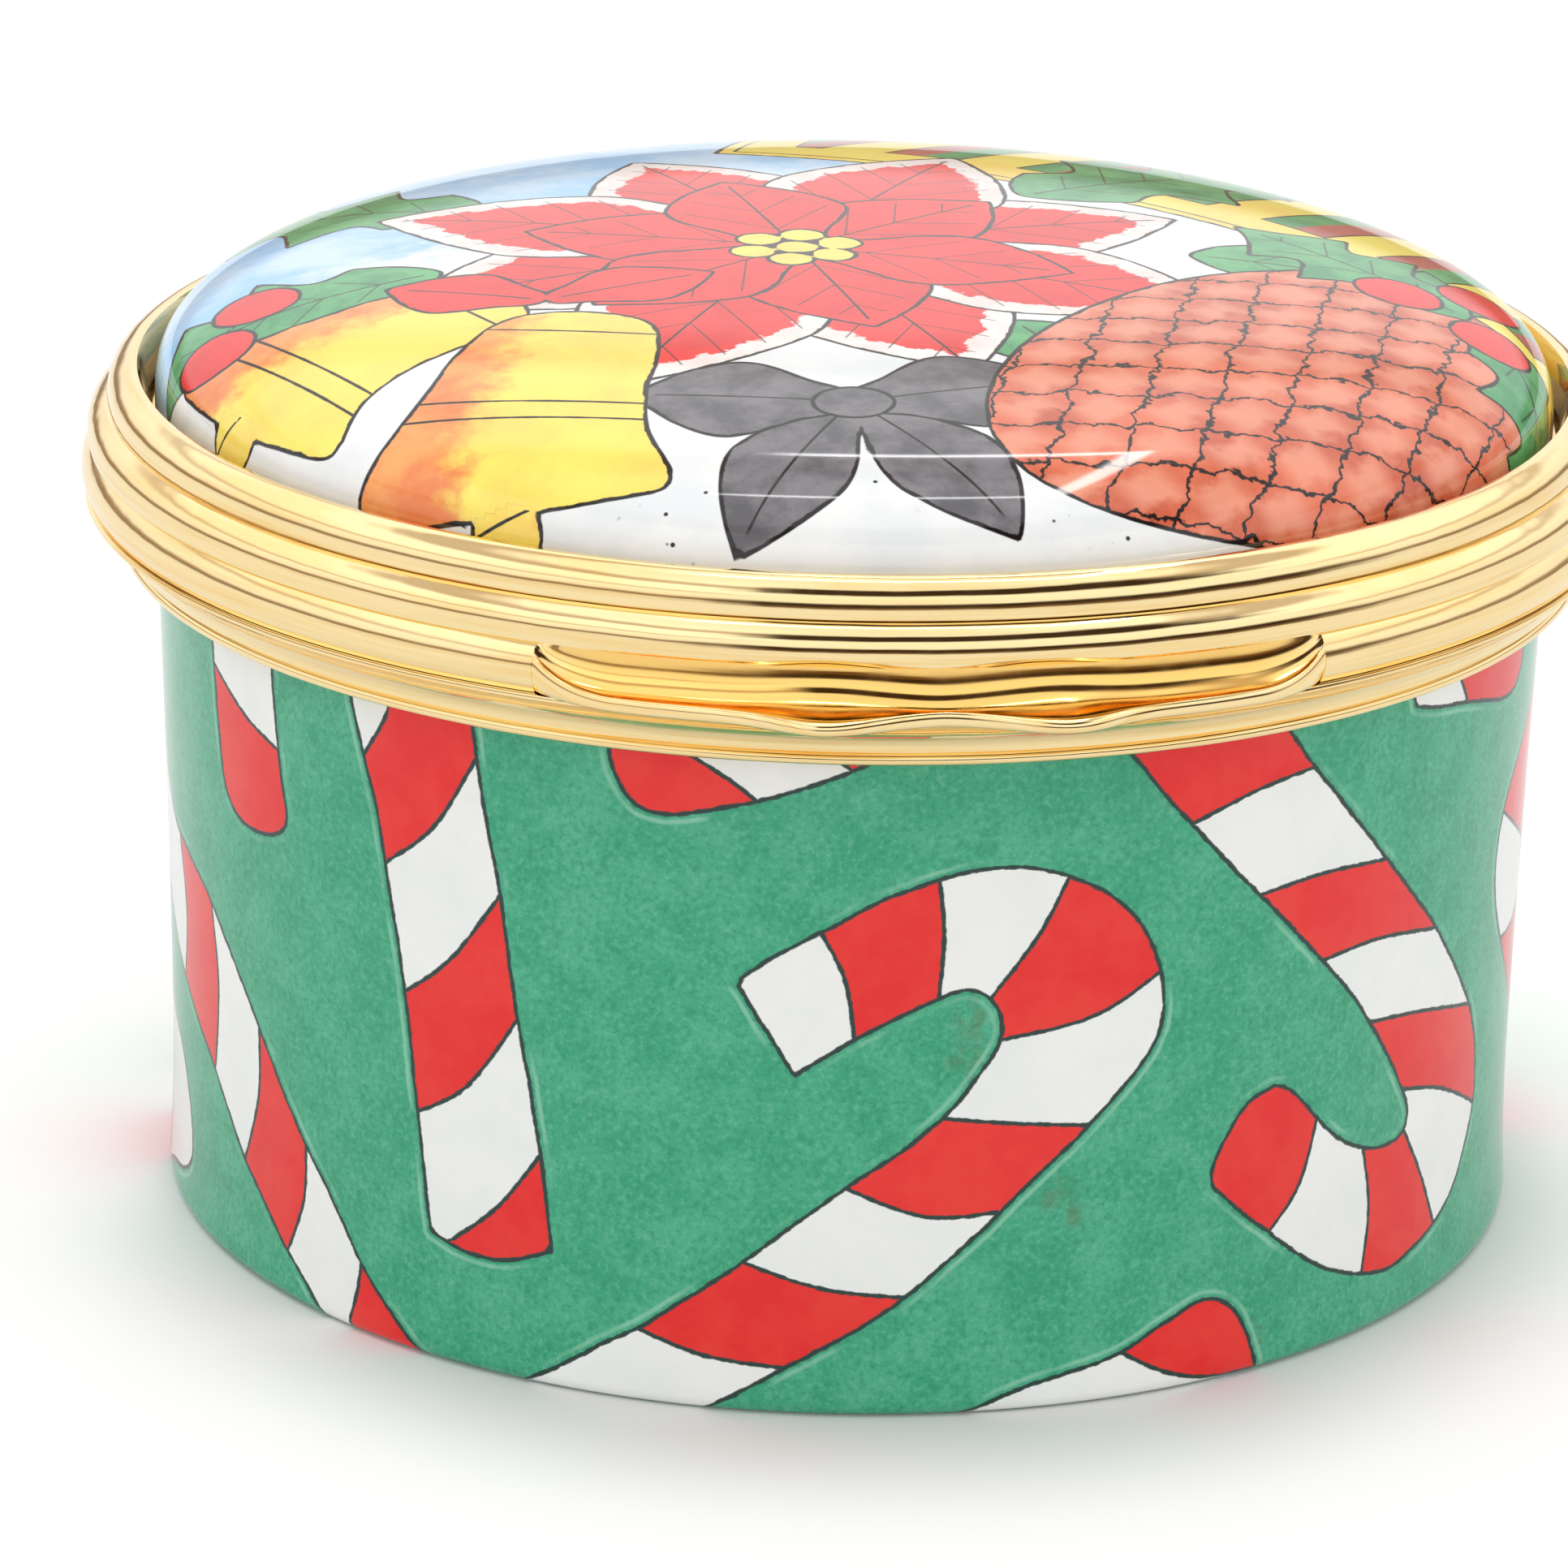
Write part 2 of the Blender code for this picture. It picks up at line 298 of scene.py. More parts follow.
def combined(piece: bpy.types.Object, guide: bpy.types.Object, operation: str) -> bpy.types.Object:
    """Cut a guide solid from a piece or join it on, and remove the guide.

    Args:
        piece: The piece that changes.
        guide: The solid that it is cut with or joined to.
        operation: UNION or DIFFERENCE.

    Returns:
        The piece, with its new mesh.
    """
    boolean = piece.modifiers.new("join", "BOOLEAN")
    boolean.operation = operation
    boolean.solver = "EXACT"
    boolean.object = guide
    depsgraph = bpy.context.evaluated_depsgraph_get()
    made = bpy.data.meshes.new_from_object(piece.evaluated_get(depsgraph))
    piece.modifiers.remove(boolean)
    piece.data = made
    made.name = piece.name
    bpy.data.objects.remove(guide, do_unlink=True)
    made.shade_smooth()
    made.set_sharp_from_angle(angle=SHARP_ANGLE)
    return piece


def vertex_places(mesh: bpy.types.Mesh) -> np.ndarray:
    """Read a mesh's points, in millimetres."""
    places = np.zeros(len(mesh.vertices) * 3)
    mesh.vertices.foreach_get("co", places)
    return places.reshape(-1, 3) / MM


def store_field(mesh: bpy.types.Mesh, name: str, values: np.ndarray) -> None:
    """Keep three numbers for each point of a mesh as a named attribute.

    Args:
        mesh: The mesh.
        name: Name of the attribute.
        values: One row of three numbers for each point.
    """
    attribute = mesh.attributes.new(name, "FLOAT_VECTOR", "POINT")
    attribute.data.foreach_set("vector", values.astype(np.float32).ravel())


def place(
    piece: bpy.types.Object, material: bpy.types.Material, body: Body, slot: Slot, *nodes: str
) -> None:
    """Give a finished piece its material and its body, and hide the CAD nodes that it stands for.

    Args:
        piece: The finished piece.
        material: Its material.
        body: The body that it rides on.
        slot: The record's slot for its finish; not used.
        nodes: CAD nodes that it replaces.
    """
    piece.data.materials.clear()
    piece.data.materials.append(material)
    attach(piece, body.value)
    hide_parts(*nodes)
    log.info("%s: %d faces on %s", piece.name, len(piece.data.polygons), body.value)


# Shading


class Nodes:
    """A node tree, with short calls for the nodes that the finishes and the studio use."""

    def __init__(self, tree: bpy.types.NodeTree) -> None:
        """Add nodes to a tree.

        Args:
            tree: The node tree.
        """
        self.tree = tree

    def feed(self, socket: bpy.types.NodeSocket, source: Source | Colour | Vector) -> None:
        """Link a source to a socket, or set the socket's own value.

        Args:
            socket: The input socket.
            source: An output socket, a number, a colour or a vector.
        """
        if isinstance(source, bpy.types.NodeSocket):
            self.tree.links.new(source, socket)
        elif isinstance(source, tuple) and socket.type == "RGBA":
            socket.default_value = (*source, 1.0)
        else:
            socket.default_value = source

    def math(self, operation: str, *sources: Source) -> bpy.types.NodeSocket:
        """Add a Math node.

        Args:
            operation: The node's operation.
            sources: Its inputs in order.

        Returns:
            The result's socket.
        """
        node = self.tree.nodes.new("ShaderNodeMath")
        node.operation = operation
        for socket, source in zip(node.inputs, sources):
            self.feed(socket, source)
        return node.outputs[0]

    def product(self, first: Source, second: Source) -> bpy.types.NodeSocket:
        """Multiply two numbers."""
        return self.math("MULTIPLY", first, second)

    def total(self, first: Source, second: Source) -> bpy.types.NodeSocket:
        """Add two numbers."""
        return self.math("ADD", first, second)

    def most(self, first: Source, second: Source) -> bpy.types.NodeSocket:
        """Take the greater of two numbers."""
        return self.math("MAXIMUM", first, second)

    def uneven(self, value: Source, wander: Source, reach: float) -> bpy.types.NodeSocket:
        """Shift a number to and fro with noise about 0.5, over a reach in all."""
        return self.total(value, self.math("MULTIPLY_ADD", wander, reach, -reach / 2))

    def span(self, x: Source, y: Source) -> bpy.types.NodeSocket:
        """Find the length of a flat vector."""
        return self.math("SQRT", self.total(self.product(x, x), self.product(y, y)))

    def vector(
        self, operation: str, first: Source, second: Source | Vector
    ) -> bpy.types.NodeSocket:
        """Add a Vector Math node.

        Args:
            operation: The node's operation.
            first: Its first input.
            second: Its second input.

        Returns:
            The result's socket.
        """
        node = self.tree.nodes.new("ShaderNodeVectorMath")
        node.operation = operation
        self.feed(node.inputs[0], first)
        self.feed(node.inputs[1], second)
        return node.outputs[0]

    def parts(self, source: Source) -> list[bpy.types.NodeSocket]:
        """Split a vector into its three numbers."""
        node = self.tree.nodes.new("ShaderNodeSeparateXYZ")
        self.feed(node.inputs[0], source)
        return list(node.outputs)

    def joined(self, x: Source, y: Source, z: Source) -> bpy.types.NodeSocket:
        """Join three numbers into a vector."""
        node = self.tree.nodes.new("ShaderNodeCombineXYZ")
        for socket, source in zip(node.inputs, (x, y, z)):
            self.feed(socket, source)
        return node.outputs[0]

    def place(self) -> bpy.types.NodeSocket:
        """Give the surface's place on its object, in metres."""
        return self.tree.nodes.new("ShaderNodeTexCoord").outputs["Object"]

    def position(self) -> bpy.types.NodeSocket:
        """Give the surface's place on its object, in millimetres."""
        return self.vector("MULTIPLY", self.place(), Vector((1 / MM, 1 / MM, 1 / MM)))

    def drawn(self, name: str) -> list[bpy.types.NodeSocket]:
        """Read a mesh attribute's three numbers."""
        node = self.tree.nodes.new("ShaderNodeAttribute")
        node.attribute_name = name
        return self.parts(node.outputs["Vector"])

    def noise(
        self, vector: Source, scale: float, detail: float = 2.0, rough: float = 0.5
    ) -> bpy.types.NodeSocket:
        """Add a noise texture.

        Args:
            vector: Where it is read.
            scale: Waves for each unit of the vector.
            detail: Finer layers.
            rough: Strength of the finer layers.

        Returns:
            The noise, about 0.5.
        """
        node = self.tree.nodes.new("ShaderNodeTexNoise")
        self.feed(node.inputs["Vector"], vector)
        node.inputs["Scale"].default_value = scale
        node.inputs["Detail"].default_value = detail
        node.inputs["Roughness"].default_value = rough
        return node.outputs[0]

    def ramp(
        self, value: Source, low: float, high: float, start: float = 0.0, end: float = 1.0
    ) -> bpy.types.NodeSocket:
        """Map a number from one range to another, clamped and eased.

        Args:
            value: The number.
            low: Where the range starts.
            high: Where it ends.
            start: Result at its start.
            end: Result at its end.

        Returns:
            The mapped number.
        """
        node = self.tree.nodes.new("ShaderNodeMapRange")
        node.interpolation_type = "SMOOTHSTEP"
        for socket, source in zip(node.inputs, (value, low, high, start, end)):
            self.feed(socket, source)
        return node.outputs[0]

    def fall(self, value: Source, low: float, high: float) -> bpy.types.NodeSocket:
        """Map a number to 1 below a range and 0 above it, eased between."""
        return self.ramp(value, low, high, 1.0, 0.0)

    def mix(
        self, share: Source, low: Source | Colour, high: Source | Colour
    ) -> bpy.types.NodeSocket:
        """Mix two colours.

        Args:
            share: How much of the second shows.
            low: The first colour.
            high: The second colour.

        Returns:
            The mixed colour.
        """
        node = self.tree.nodes.new("ShaderNodeMix")
        node.data_type = "RGBA"
        self.feed(node.inputs[0], share)
        self.feed(node.inputs[6], low)
        self.feed(node.inputs[7], high)
        return node.outputs[2]

    def bump(self, height: Source, strength: float, distance: float) -> bpy.types.NodeSocket:
        """Add a Bump node.

        Args:
            height: The height, 0 to 1.
            strength: How much of it shows.
            distance: The height of 1 in metres.

        Returns:
            The bent normal.
        """
        node = self.tree.nodes.new("ShaderNodeBump")
        node.inputs["Strength"].default_value = strength
        node.inputs["Distance"].default_value = distance
        self.feed(node.inputs["Height"], height)
        return node.outputs[0]


class Shader(Nodes):
    """A material made with the Principled shader."""

    def __init__(self, name: str) -> None:
        """Start a material.

        Args:
            name: Name of the material.
        """
        self.material = bpy.data.materials.new(name)
        self.material.use_nodes = True
        super().__init__(self.material.node_tree)
        self.principled = self.tree.nodes["Principled BSDF"]

    def finish(
        self, colour: Source | Colour, roughness: Source, **settings: float
    ) -> bpy.types.Material:
        """Set the Principled shader's inputs.

        Args:
            colour: The base colour.
            roughness: The roughness.
            settings: Other inputs by name, with _ for a space.

        Returns:
            The material.
        """
        self.feed(self.principled.inputs["Base Color"], colour)
        self.feed(self.principled.inputs["Roughness"], roughness)
        for name, value in settings.items():
            self.feed(self.principled.inputs[name.replace("_", " ")], value)
        return self.material


@dataclass(frozen=True)
class InkLine:
    """How ink lines are drawn: half their width, the softness of their edge and their wobble."""

    half_width: float = 0.062
    softness: float = 0.022
    wobble: float = 0.05

    def cover(self, shader: Shader, distance: Source, wander: Source) -> bpy.types.NodeSocket:
        """Find where a line's ink covers the surface.

        Args:
            shader: The material being built.
            distance: Signed distance to the line, in millimetres.
            wander: Noise about 0.5 that makes the line uneven.

        Returns:
            1 on the line and 0 away from it.
        """
        uneven = shader.math("MULTIPLY_ADD", wander, 2 * self.wobble, self.half_width - self.wobble)
        beyond = shader.math("SUBTRACT", shader.math("ABSOLUTE", distance), uneven)
        return shader.fall(beyond, -self.softness, self.softness)


@dataclass(frozen=True)
class Wash:
    """A watercolour paint: a main colour, a second one that pools in it, and how strongly."""

    main: Colour
    pooled: Colour
    pooling: float = 0.5
    pool_scale: float = 0.45

    def colour(self, shader: Shader, position: Source) -> bpy.types.NodeSocket:
        """Lay the paint on.

        Args:
            shader: The material being built.
            position: Place on the piece in millimetres.

        Returns:
            The paint's colour.
        """
        cloud = shader.noise(position, self.pool_scale, 5.0, 0.62)
        share = shader.ramp(cloud, 0.36, 0.66, 0.0, self.pooling)
        return shader.mix(share, self.main, self.pooled)


@dataclass(frozen=True)
class Gilt:
    """Polished gilt with fine turning marks that run round the box, and an optional painted
    reflection: an orange glow of light bounced round a hollow.
    """

    name: str
    colour: Colour
    deep: Colour
    roughness: float
    ripple: float
    # Colour of a painted reflection: the orange glow of light bounced round a hollow, laid where
    # the mesh's mask says.
    painted_bounce: Colour | None = None
    turns: float = 2.2
    radius_steps: float = 3.5
    height_steps: float = 4.5

    def material(self) -> bpy.types.Material:
        """Build the metal.

        Returns:
            The material.
        """
        shader = Shader(self.name)
        position = shader.position()
        x, y, z = shader.parts(position)
        heading = shader.math("ARCTAN2", y, x)
        across = shader.total(
            shader.product(shader.span(x, y), self.radius_steps),
            shader.product(z, self.height_steps)
        )
        ring = shader.joined(
            shader.product(shader.math("COSINE", heading), self.turns),
            shader.product(shader.math("SINE", heading), self.turns),
            across,
        )
        streaks = shader.ramp(shader.noise(ring, 1.3, 4.0, 0.6), 0.42, 0.72)
        tint = shader.mix(streaks, self.colour, self.deep)
        # Painted reflection: mix in the orange glow of bounced light where the mesh's mask marks
        # the hollow.
        if self.painted_bounce is not None:
            tint = shader.mix(shader.drawn("painted_bounce")[0], tint, self.painted_bounce)
        wear = shader.noise(position, 0.8, 4.0, 0.6)
        roughness = shader.ramp(wear, 0.3, 0.75, self.roughness * 0.6, self.roughness * 1.7)
        normal = shader.bump(shader.noise(position, 0.55, 1.5, 0.4), 1.0, self.ripple * MM)
        shader.feed(shader.principled.inputs["Normal"], normal)
        return shader.finish(tint, roughness, Metallic=1.0)


GILT_BAND = Gilt("gilt_band", (0.97, 0.77, 0.41), (0.92, 0.66, 0.29), 0.07, 0.03)
# The thumb piece's third colour is a painted reflection: the orange glow of light bounced round its
# scoop.
GILT_THUMB = Gilt(
    "gilt_thumb", (0.97, 0.77, 0.41), (0.94, 0.66, 0.28), 0.09, 0.006, (0.97, 0.62, 0.19)
)
GILT_HINGE = Gilt("gilt_hinge", (0.93, 0.7, 0.34), (0.82, 0.56, 0.24), 0.16, 0.02)
BRASS_WIRE = Gilt("brass_wire", (0.88, 0.66, 0.33), (0.78, 0.54, 0.25), 0.22, 0.01)


# The cup and its candy cane print


@dataclass(frozen=True)
class Cane:
    """One striped cane of the print, on the cup's wall unrolled to arc length and height.

    Each rib is a line across the cane where its colour changes, with the next stripe on its left.
    """

    outline: Outline
    ribs: tuple[Outline, ...] = ()
    red_first: bool = False
    shifts: tuple[float, ...] = (0.0,)


CANES = (
    Cane(
        [
            (-17.3, 21.0), (-17.3, 21.0), (-16.5, 18.0), (-15.8, 15.6), (-15.3, 12.9),
            (-14.9, 10.6), (-14.5, 7.2), (-14.1, 4.1), (-13.9, 3.7), (-12.7, 3.4), (-11.4, 3.5),
            (-10.15, 4.0), (-10.15, 4.0), (-10.5, 6.8), (-10.9, 9.1), (-11.3, 11.2), (-11.7, 14.1),
            (-12.2, 16.6), (-12.5, 18.7), (-12.8, 21.0), (-12.8, 21.0)
        ],
        (
            [(-15.3, 18.6), (-15.7, 17.9), (-16.4, 16.9)],
            [(-12.3, 18.0), (-13.8, 15.6), (-15.5, 14.2)],
            [(-11.6, 14.2), (-13.3, 11.9), (-15.0, 10.5)],
            [(-11.1, 10.7), (-12.8, 8.3), (-14.6, 7.1)], [(-10.4, 6.9), (-11.8, 5.0), (-13.4, 3.6)]
        ),
        False, (0.0, 59.0)
    ),
    Cane(
        [
            (-23.7, 21.0), (-23.7, 21.0), (-23.4, 17.2), (-23.2, 15.4), (-22.9, 14.2),
            (-22.0, 13.6), (-20.6, 13.6), (-19.6, 14.2), (-19.8, 15.6), (-20.0, 17.4),
            (-20.2, 21.0), (-20.2, 21.0)
        ],
        ([(-20.0, 16.3), (-21.6, 16.8), (-23.5, 17.8)],), False, (0.0, 62.0)
    ),
    Cane(
        [
            (-35.6, 21.0), (-33.4, 17.4), (-30.8, 13.9), (-28.3, 11.8), (-26.6, 11.3),
            (-24.6, 10.6), (-22.9, 9.3), (-21.5, 7.9), (-20.2, 6.3), (-19.1, 5.0), (-17.8, 3.6),
            (-16.6, 2.1), (-15.3, 0.9), (-13.0, -1.0), (-13.0, -1.0), (-17.2, -1.0), (-17.2, -1.0),
            (-18.4, 0.4), (-20.0, 1.6), (-21.1, 2.5), (-22.4, 3.5), (-23.5, 4.6), (-24.6, 5.6),
            (-26.2, 6.6), (-29.0, 8.4), (-33.0, 12.0), (-37.0, 16.4), (-40.0, 21.0), (-40.0, 21.0),
            (-35.6, 21.0)
        ],
        (
            [(-33.9, 18.4), (-34.7, 15.6), (-36.2, 14.9)],
            [(-30.6, 13.8), (-30.9, 11.6), (-31.9, 10.4)],
            [(-27.5, 11.7), (-26.8, 9.3), (-27.3, 6.9)],
            [(-24.3, 10.4), (-23.9, 8.1), (-24.3, 5.4)], [(-21.3, 7.8), (-21.4, 5.6), (-22.3, 3.3)],
            [(-19.0, 5.1), (-19.1, 3.2), (-19.9, 1.3)], [(-16.6, 2.2), (-16.7, 1.3), (-17.0, 0.2)]
        )
    ),
    Cane(
        [
            (-43.5, -1.2), (-43.5, -1.2), (-40.0, 0.6), (-37.0, 2.6), (-34.0, 4.6), (-31.2, 5.5),
            (-28.4, 5.0), (-27.0, 3.6), (-26.5, 2.0), (-27.4, 1.2), (-29.6, 0.7), (-33.0, -0.6),
            (-34.4, -1.2), (-34.4, -1.2)
        ],
        (
            [(-39.4, 1.2), (-38.6, 0.0), (-38.6, -1.2)],
            [(-35.4, 3.8), (-34.7, 1.8), (-35.2, -0.9)], [(-31.0, 5.8), (-30.4, 3.2), (-30.8, 0.2)]
        ),
        True
    ),
    Cane(
        [
            (-8.6, 21.0), (-8.6, 21.0), (-8.5, 18.8), (-8.2, 17.8), (-7.6, 17.2), (-6.8, 17.1),
            (-5.9, 17.3), (-4.4, 17.7), (-2.3, 18.5), (0.6, 20.0), (0.6, 21.0), (0.6, 21.0)
        ],
        ([(-6.4, 18.9), (-5.2, 18.2), (-4.3, 17.5)], [(-3.4, 19.2), (-2.4, 18.9), (-1.7, 18.3)]),
        True, (0.0, 62.0)
    ),
    Cane(
        [
            (-5.0, 12.5), (-5.0, 12.5), (-4.0, 13.3), (-2.8, 14.0), (-1.3, 14.9), (0.2, 15.5),
            (1.4, 15.8), (2.7, 15.8), (4.0, 15.4), (5.3, 14.6), (6.2, 13.5), (6.7, 12.1),
            (6.7, 10.8), (6.1, 9.7), (4.6, 8.1), (3.1, 6.7), (1.7, 5.3), (-0.4, 3.4), (-2.0, 2.3),
            (-3.5, 1.4), (-5.1, 0.4), (-7.8, -1.2), (-7.8, -1.2), (-13.2, -1.2), (-13.2, -1.2),
            (-10.2, 0.5), (-8.7, 1.5), (-7.4, 2.3), (-6.1, 3.3), (-4.7, 4.4), (-3.3, 5.6),
            (-1.8, 6.8), (-0.3, 7.9), (0.7, 8.8), (1.5, 9.8), (2.1, 10.8), (2.15, 11.4),
            (1.9, 12.0), (1.4, 12.35), (0.9, 12.35), (0.3, 12.1), (-0.9, 11.5), (-2.1, 10.8),
            (-3.4, 9.9), (-3.4, 9.9)
        ],
        (
            [(-2.8, 14.1), (-2.1, 12.7), (-1.8, 10.9)], [(0.3, 15.7), (0.5, 14.0), (0.4, 12.1)],
            [(3.9, 15.6), (3.1, 13.9), (1.8, 12.1)], [(6.9, 12.6), (4.8, 11.4), (2.1, 10.9)],
            [(4.8, 8.2), (2.6, 8.45), (0.6, 8.7)], [(2.3, 5.9), (0.2, 5.85), (-2.0, 6.7)],
            [(-0.3, 3.5), (-2.6, 3.75), (-4.7, 4.4)], [(-3.4, 1.4), (-5.7, 1.6), (-7.7, 2.2)]
        ),
        False, (0.0, 61.0)
    ),
    Cane(
        [
            (8.4, 21.0), (8.4, 21.0), (10.5, 18.5), (11.3, 17.5), (12.7, 16.0), (14.5, 14.1),
            (15.8, 12.8), (17.3, 11.3), (18.8, 9.6), (20.0, 8.1), (20.7, 6.7), (20.9, 5.1),
            (20.4, 3.9), (19.5, 2.8), (18.4, 2.2), (17.0, 1.8), (15.7, 1.6), (14.5, 1.8),
            (13.1, 2.3), (11.8, 3.1), (10.7, 4.0), (9.7, 4.8), (8.6, 5.8), (8.6, 5.8), (8.6, 6.4),
            (9.0, 7.2), (9.7, 8.1), (10.6, 8.4), (10.6, 8.4), (11.2, 8.1), (12.3, 7.0), (13.2, 6.2),
            (14.1, 5.7), (15.1, 5.4), (16.1, 5.5), (16.4, 6.1), (16.0, 6.9), (15.2, 8.1),
            (14.2, 9.4), (13.2, 10.6), (12.1, 11.7), (10.8, 13.0), (9.7, 14.1), (8.5, 15.3),
            (7.4, 16.5), (6.3, 17.7), (5.6, 18.6), (3.4, 21.0), (3.4, 21.0)
        ],
        (
            [(11.4, 17.5), (9.4, 17.2), (7.2, 16.5)], [(14.6, 14.1), (11.9, 14.3), (9.5, 14.1)],
            [(17.4, 11.3), (14.4, 11.8), (11.9, 11.7)], [(20.0, 8.2), (16.7, 9.0), (14.0, 9.4)],
            [(21.1, 4.8), (18.3, 6.2), (15.9, 6.9)], [(18.3, 2.0), (17.4, 3.8), (16.3, 5.5)],
            [(14.4, 1.6), (14.7, 3.7), (14.2, 5.9)], [(10.5, 3.9), (11.7, 5.2), (12.3, 7.2)]
        ),
        True, (0.0, 62.0)
    ),
    Cane(
        [
            (-1.2, -1.2), (-1.2, -1.2), (2.4, 0.5), (4.7, 1.1), (5.9, 1.4), (7.1, 2.0), (8.4, 2.5),
            (9.3, 2.2), (9.9, 1.3), (10.4, -0.2), (10.7, -1.2), (10.7, -1.2)
        ],
        ([(5.6, 1.6), (7.1, 0.7), (8.7, 0.2), (10.6, 0.1)],), False, (0.0, 58.5)
    ),
    Cane(
        [
            (28.6, 17.0), (26.0, 16.2), (23.6, 14.9), (22.0, 13.6), (21.45, 12.2), (21.7, 10.8),
            (22.6, 9.4), (24.2, 7.6), (26.6, 5.4), (29.4, 3.0), (33.2, -1.2), (33.2, -1.2),
            (38.0, -1.2), (38.0, -1.2), (34.2, 2.4), (31.0, 5.2), (28.0, 8.0), (26.2, 9.9),
            (25.6, 11.2), (26.0, 12.2), (27.2, 12.9), (29.4, 13.6), (29.4, 13.6)
        ],
        (
            [(26.4, 12.2), (26.0, 14.2), (25.8, 16.4)], [(25.6, 11.4), (23.6, 12.4), (21.6, 13.5)],
            [(26.4, 9.9), (24.6, 9.2), (22.3, 9.3)], [(29.4, 6.9), (27.6, 6.0), (25.2, 6.3)],
            [(33.2, 3.6), (31.2, 2.4), (28.8, 3.0)]
        ),
        False
    ),
    Cane(
        [
            (14.6, 21.0), (14.6, 21.0), (15.2, 18.7), (15.7, 18.2), (18.2, 17.7), (21.2, 17.0),
            (22.4, 17.4), (22.4, 18.6), (21.4, 21.0), (21.4, 21.0)
        ],
        ([(17.4, 18.8), (17.9, 18.1), (18.3, 17.4)],)
    ),
)


@dataclass(frozen=True)
class Stain:
    """A faint brown mark in the green, on the cup's wall unrolled to arc length and height."""

    centre: Point
    radius: float


STAINS = (
    Stain((1.45, 11.5), 1.0), Stain((1.3, 10.4), 0.9), Stain((3.9, 6.3), 0.8),
    Stain((4.4, 5.6), 0.5), Stain((10.2, 1.2), 0.7)
)


@dataclass
class Cup:
    """The enamelled cup: green with a candy cane print outside, white inside."""

    waist_radius: float = 19.5
    waist_height: float = 4.0
    foot_flare: float = 0.15
    rim_flare: float = 0.4
    top: float = 19.75
    wall: float = 1.2
    floor: float = 1.3
    foot_round: float = 0.4
    inner_round: float = 2.0
    segments: int = 512
    wall_rows: int = 76
    print_radius: float = 19.6
    green: Wash = Wash(paint(44, 156, 116), paint(74, 172, 136), 0.75, 0.7)
    red: Wash = Wash(paint(226, 20, 20), paint(232, 52, 42), 0.7, 0.5)
    white: Wash = Wash(paint(236, 237, 234), paint(224, 228, 226), 0.5, 0.4)
    ink: InkLine = InkLine()
    pale_grain: Colour = paint(104, 184, 150)
    dark_grain: Colour = paint(18, 122, 86)
    stain_brown: Colour = paint(86, 90, 48)
    halo: Colour = paint(150, 205, 178)
    edge_wander: float = 0.1
    uv_margin: float = 0.005
    uv_length: float = 0.99
    uv_row: float = 0.335
    uv_wall: float = 0.325
    uv_inside: tuple[float, float] = (0.68, 0.08)
    uv_above_floor: float = 0.01
    uv_discs: tuple[float, float] = (0.125, 0.375)
    uv_disc_size: float = 0.11
    uv_disc_height: float = 0.885

    def radius(self, height: float) -> float:
        """Find the cup's outer radius at a height.

        Args:
            height: Height over the foot.

        Returns:
            The radius.
        """
        if height < self.waist_height:
            return self.waist_radius + self.foot_flare * (1 - height / self.waist_height) ** 2
        share = (height - self.waist_height) / (self.top - self.waist_height)
        return self.waist_radius + self.rim_flare * share**1.4

    def outline(self) -> Outline:
        """List the section from the middle of the foot, up the outside and down the inside.

        Returns:
            The section's points.
        """
        foot_radius = self.radius(self.foot_round)
        points = [(0, 0), (foot_radius * 0.6, 0)]
        points += arc((foot_radius - self.foot_round, self.foot_round), self.foot_round, -90, 0, 6)
        for row in range(1, self.wall_rows + 1):
            height = self.foot_round + (self.top - self.foot_round) * row / self.wall_rows
            points.append((self.radius(height), height))
        points.append((RIM_RADIUS - self.wall, self.top))
        inner_foot = self.radius(self.inner_round) - self.wall
        for share in (0.75, 0.5, 0.25):
            lowest = self.inner_round + self.floor
            height = lowest + (self.top - self.inner_round - self.floor) * share
            points.append((self.radius(height) - self.wall, height))
        points += arc(
            (inner_foot - self.inner_round, self.floor + self.inner_round), self.inner_round, 0,
            -90, 12
        )
        points += [(inner_foot * 0.5, self.floor), (0, self.floor)]
        return points

    def print_canes(self, mesh: bpy.types.Mesh) -> None:
        """Store the print on the mesh: distance to a cane's edge, stripe, and 1 on the outside.

        Args:
            mesh: The cup's mesh.
        """
        places = vertex_places(mesh)
        radius = np.hypot(places[:, 0], places[:, 1])
        outside = radius > np.array([self.radius(z) for z in places[:, 2]]) - 0.6 * self.foot_round
        wall = np.flatnonzero(outside & (places[:, 2] > -1))
        half_round = math.pi * self.print_radius
        arcs = np.arctan2(places[wall, 0], -places[wall, 1]) * self.print_radius
        edge = np.full(len(wall), FAR)
        stripe = np.zeros(len(wall))
        for cane in CANES:
            loop = smooth_loop(cane.outline)
            for shift in cane.shifts:
                across = (arcs - shift + half_round) % (2 * half_round) - half_round
                points = np.stack([across, places[wall, 2]], 1)
                distance = signed_distance(points, loop)
                nearer = np.flatnonzero(distance < edge)
                edge[nearer] = distance[nearer]
                stripe[nearer] = self.stripe(points[nearer], cane)
        values = np.zeros((len(places), 3))
        values[:, 0] = FAR
        values[wall] = np.stack([edge, stripe, np.ones(len(wall))], 1)
        store_field(mesh, "cane", values)
        marks = np.zeros((len(places), 3))
        for stain in STAINS:
            away = np.hypot(arcs - stain.centre[0], places[wall, 2] - stain.centre[1])
            marks[wall, 0] = np.maximum(marks[wall, 0], 1 - away / stain.radius)
        store_field(mesh, "stain", marks)

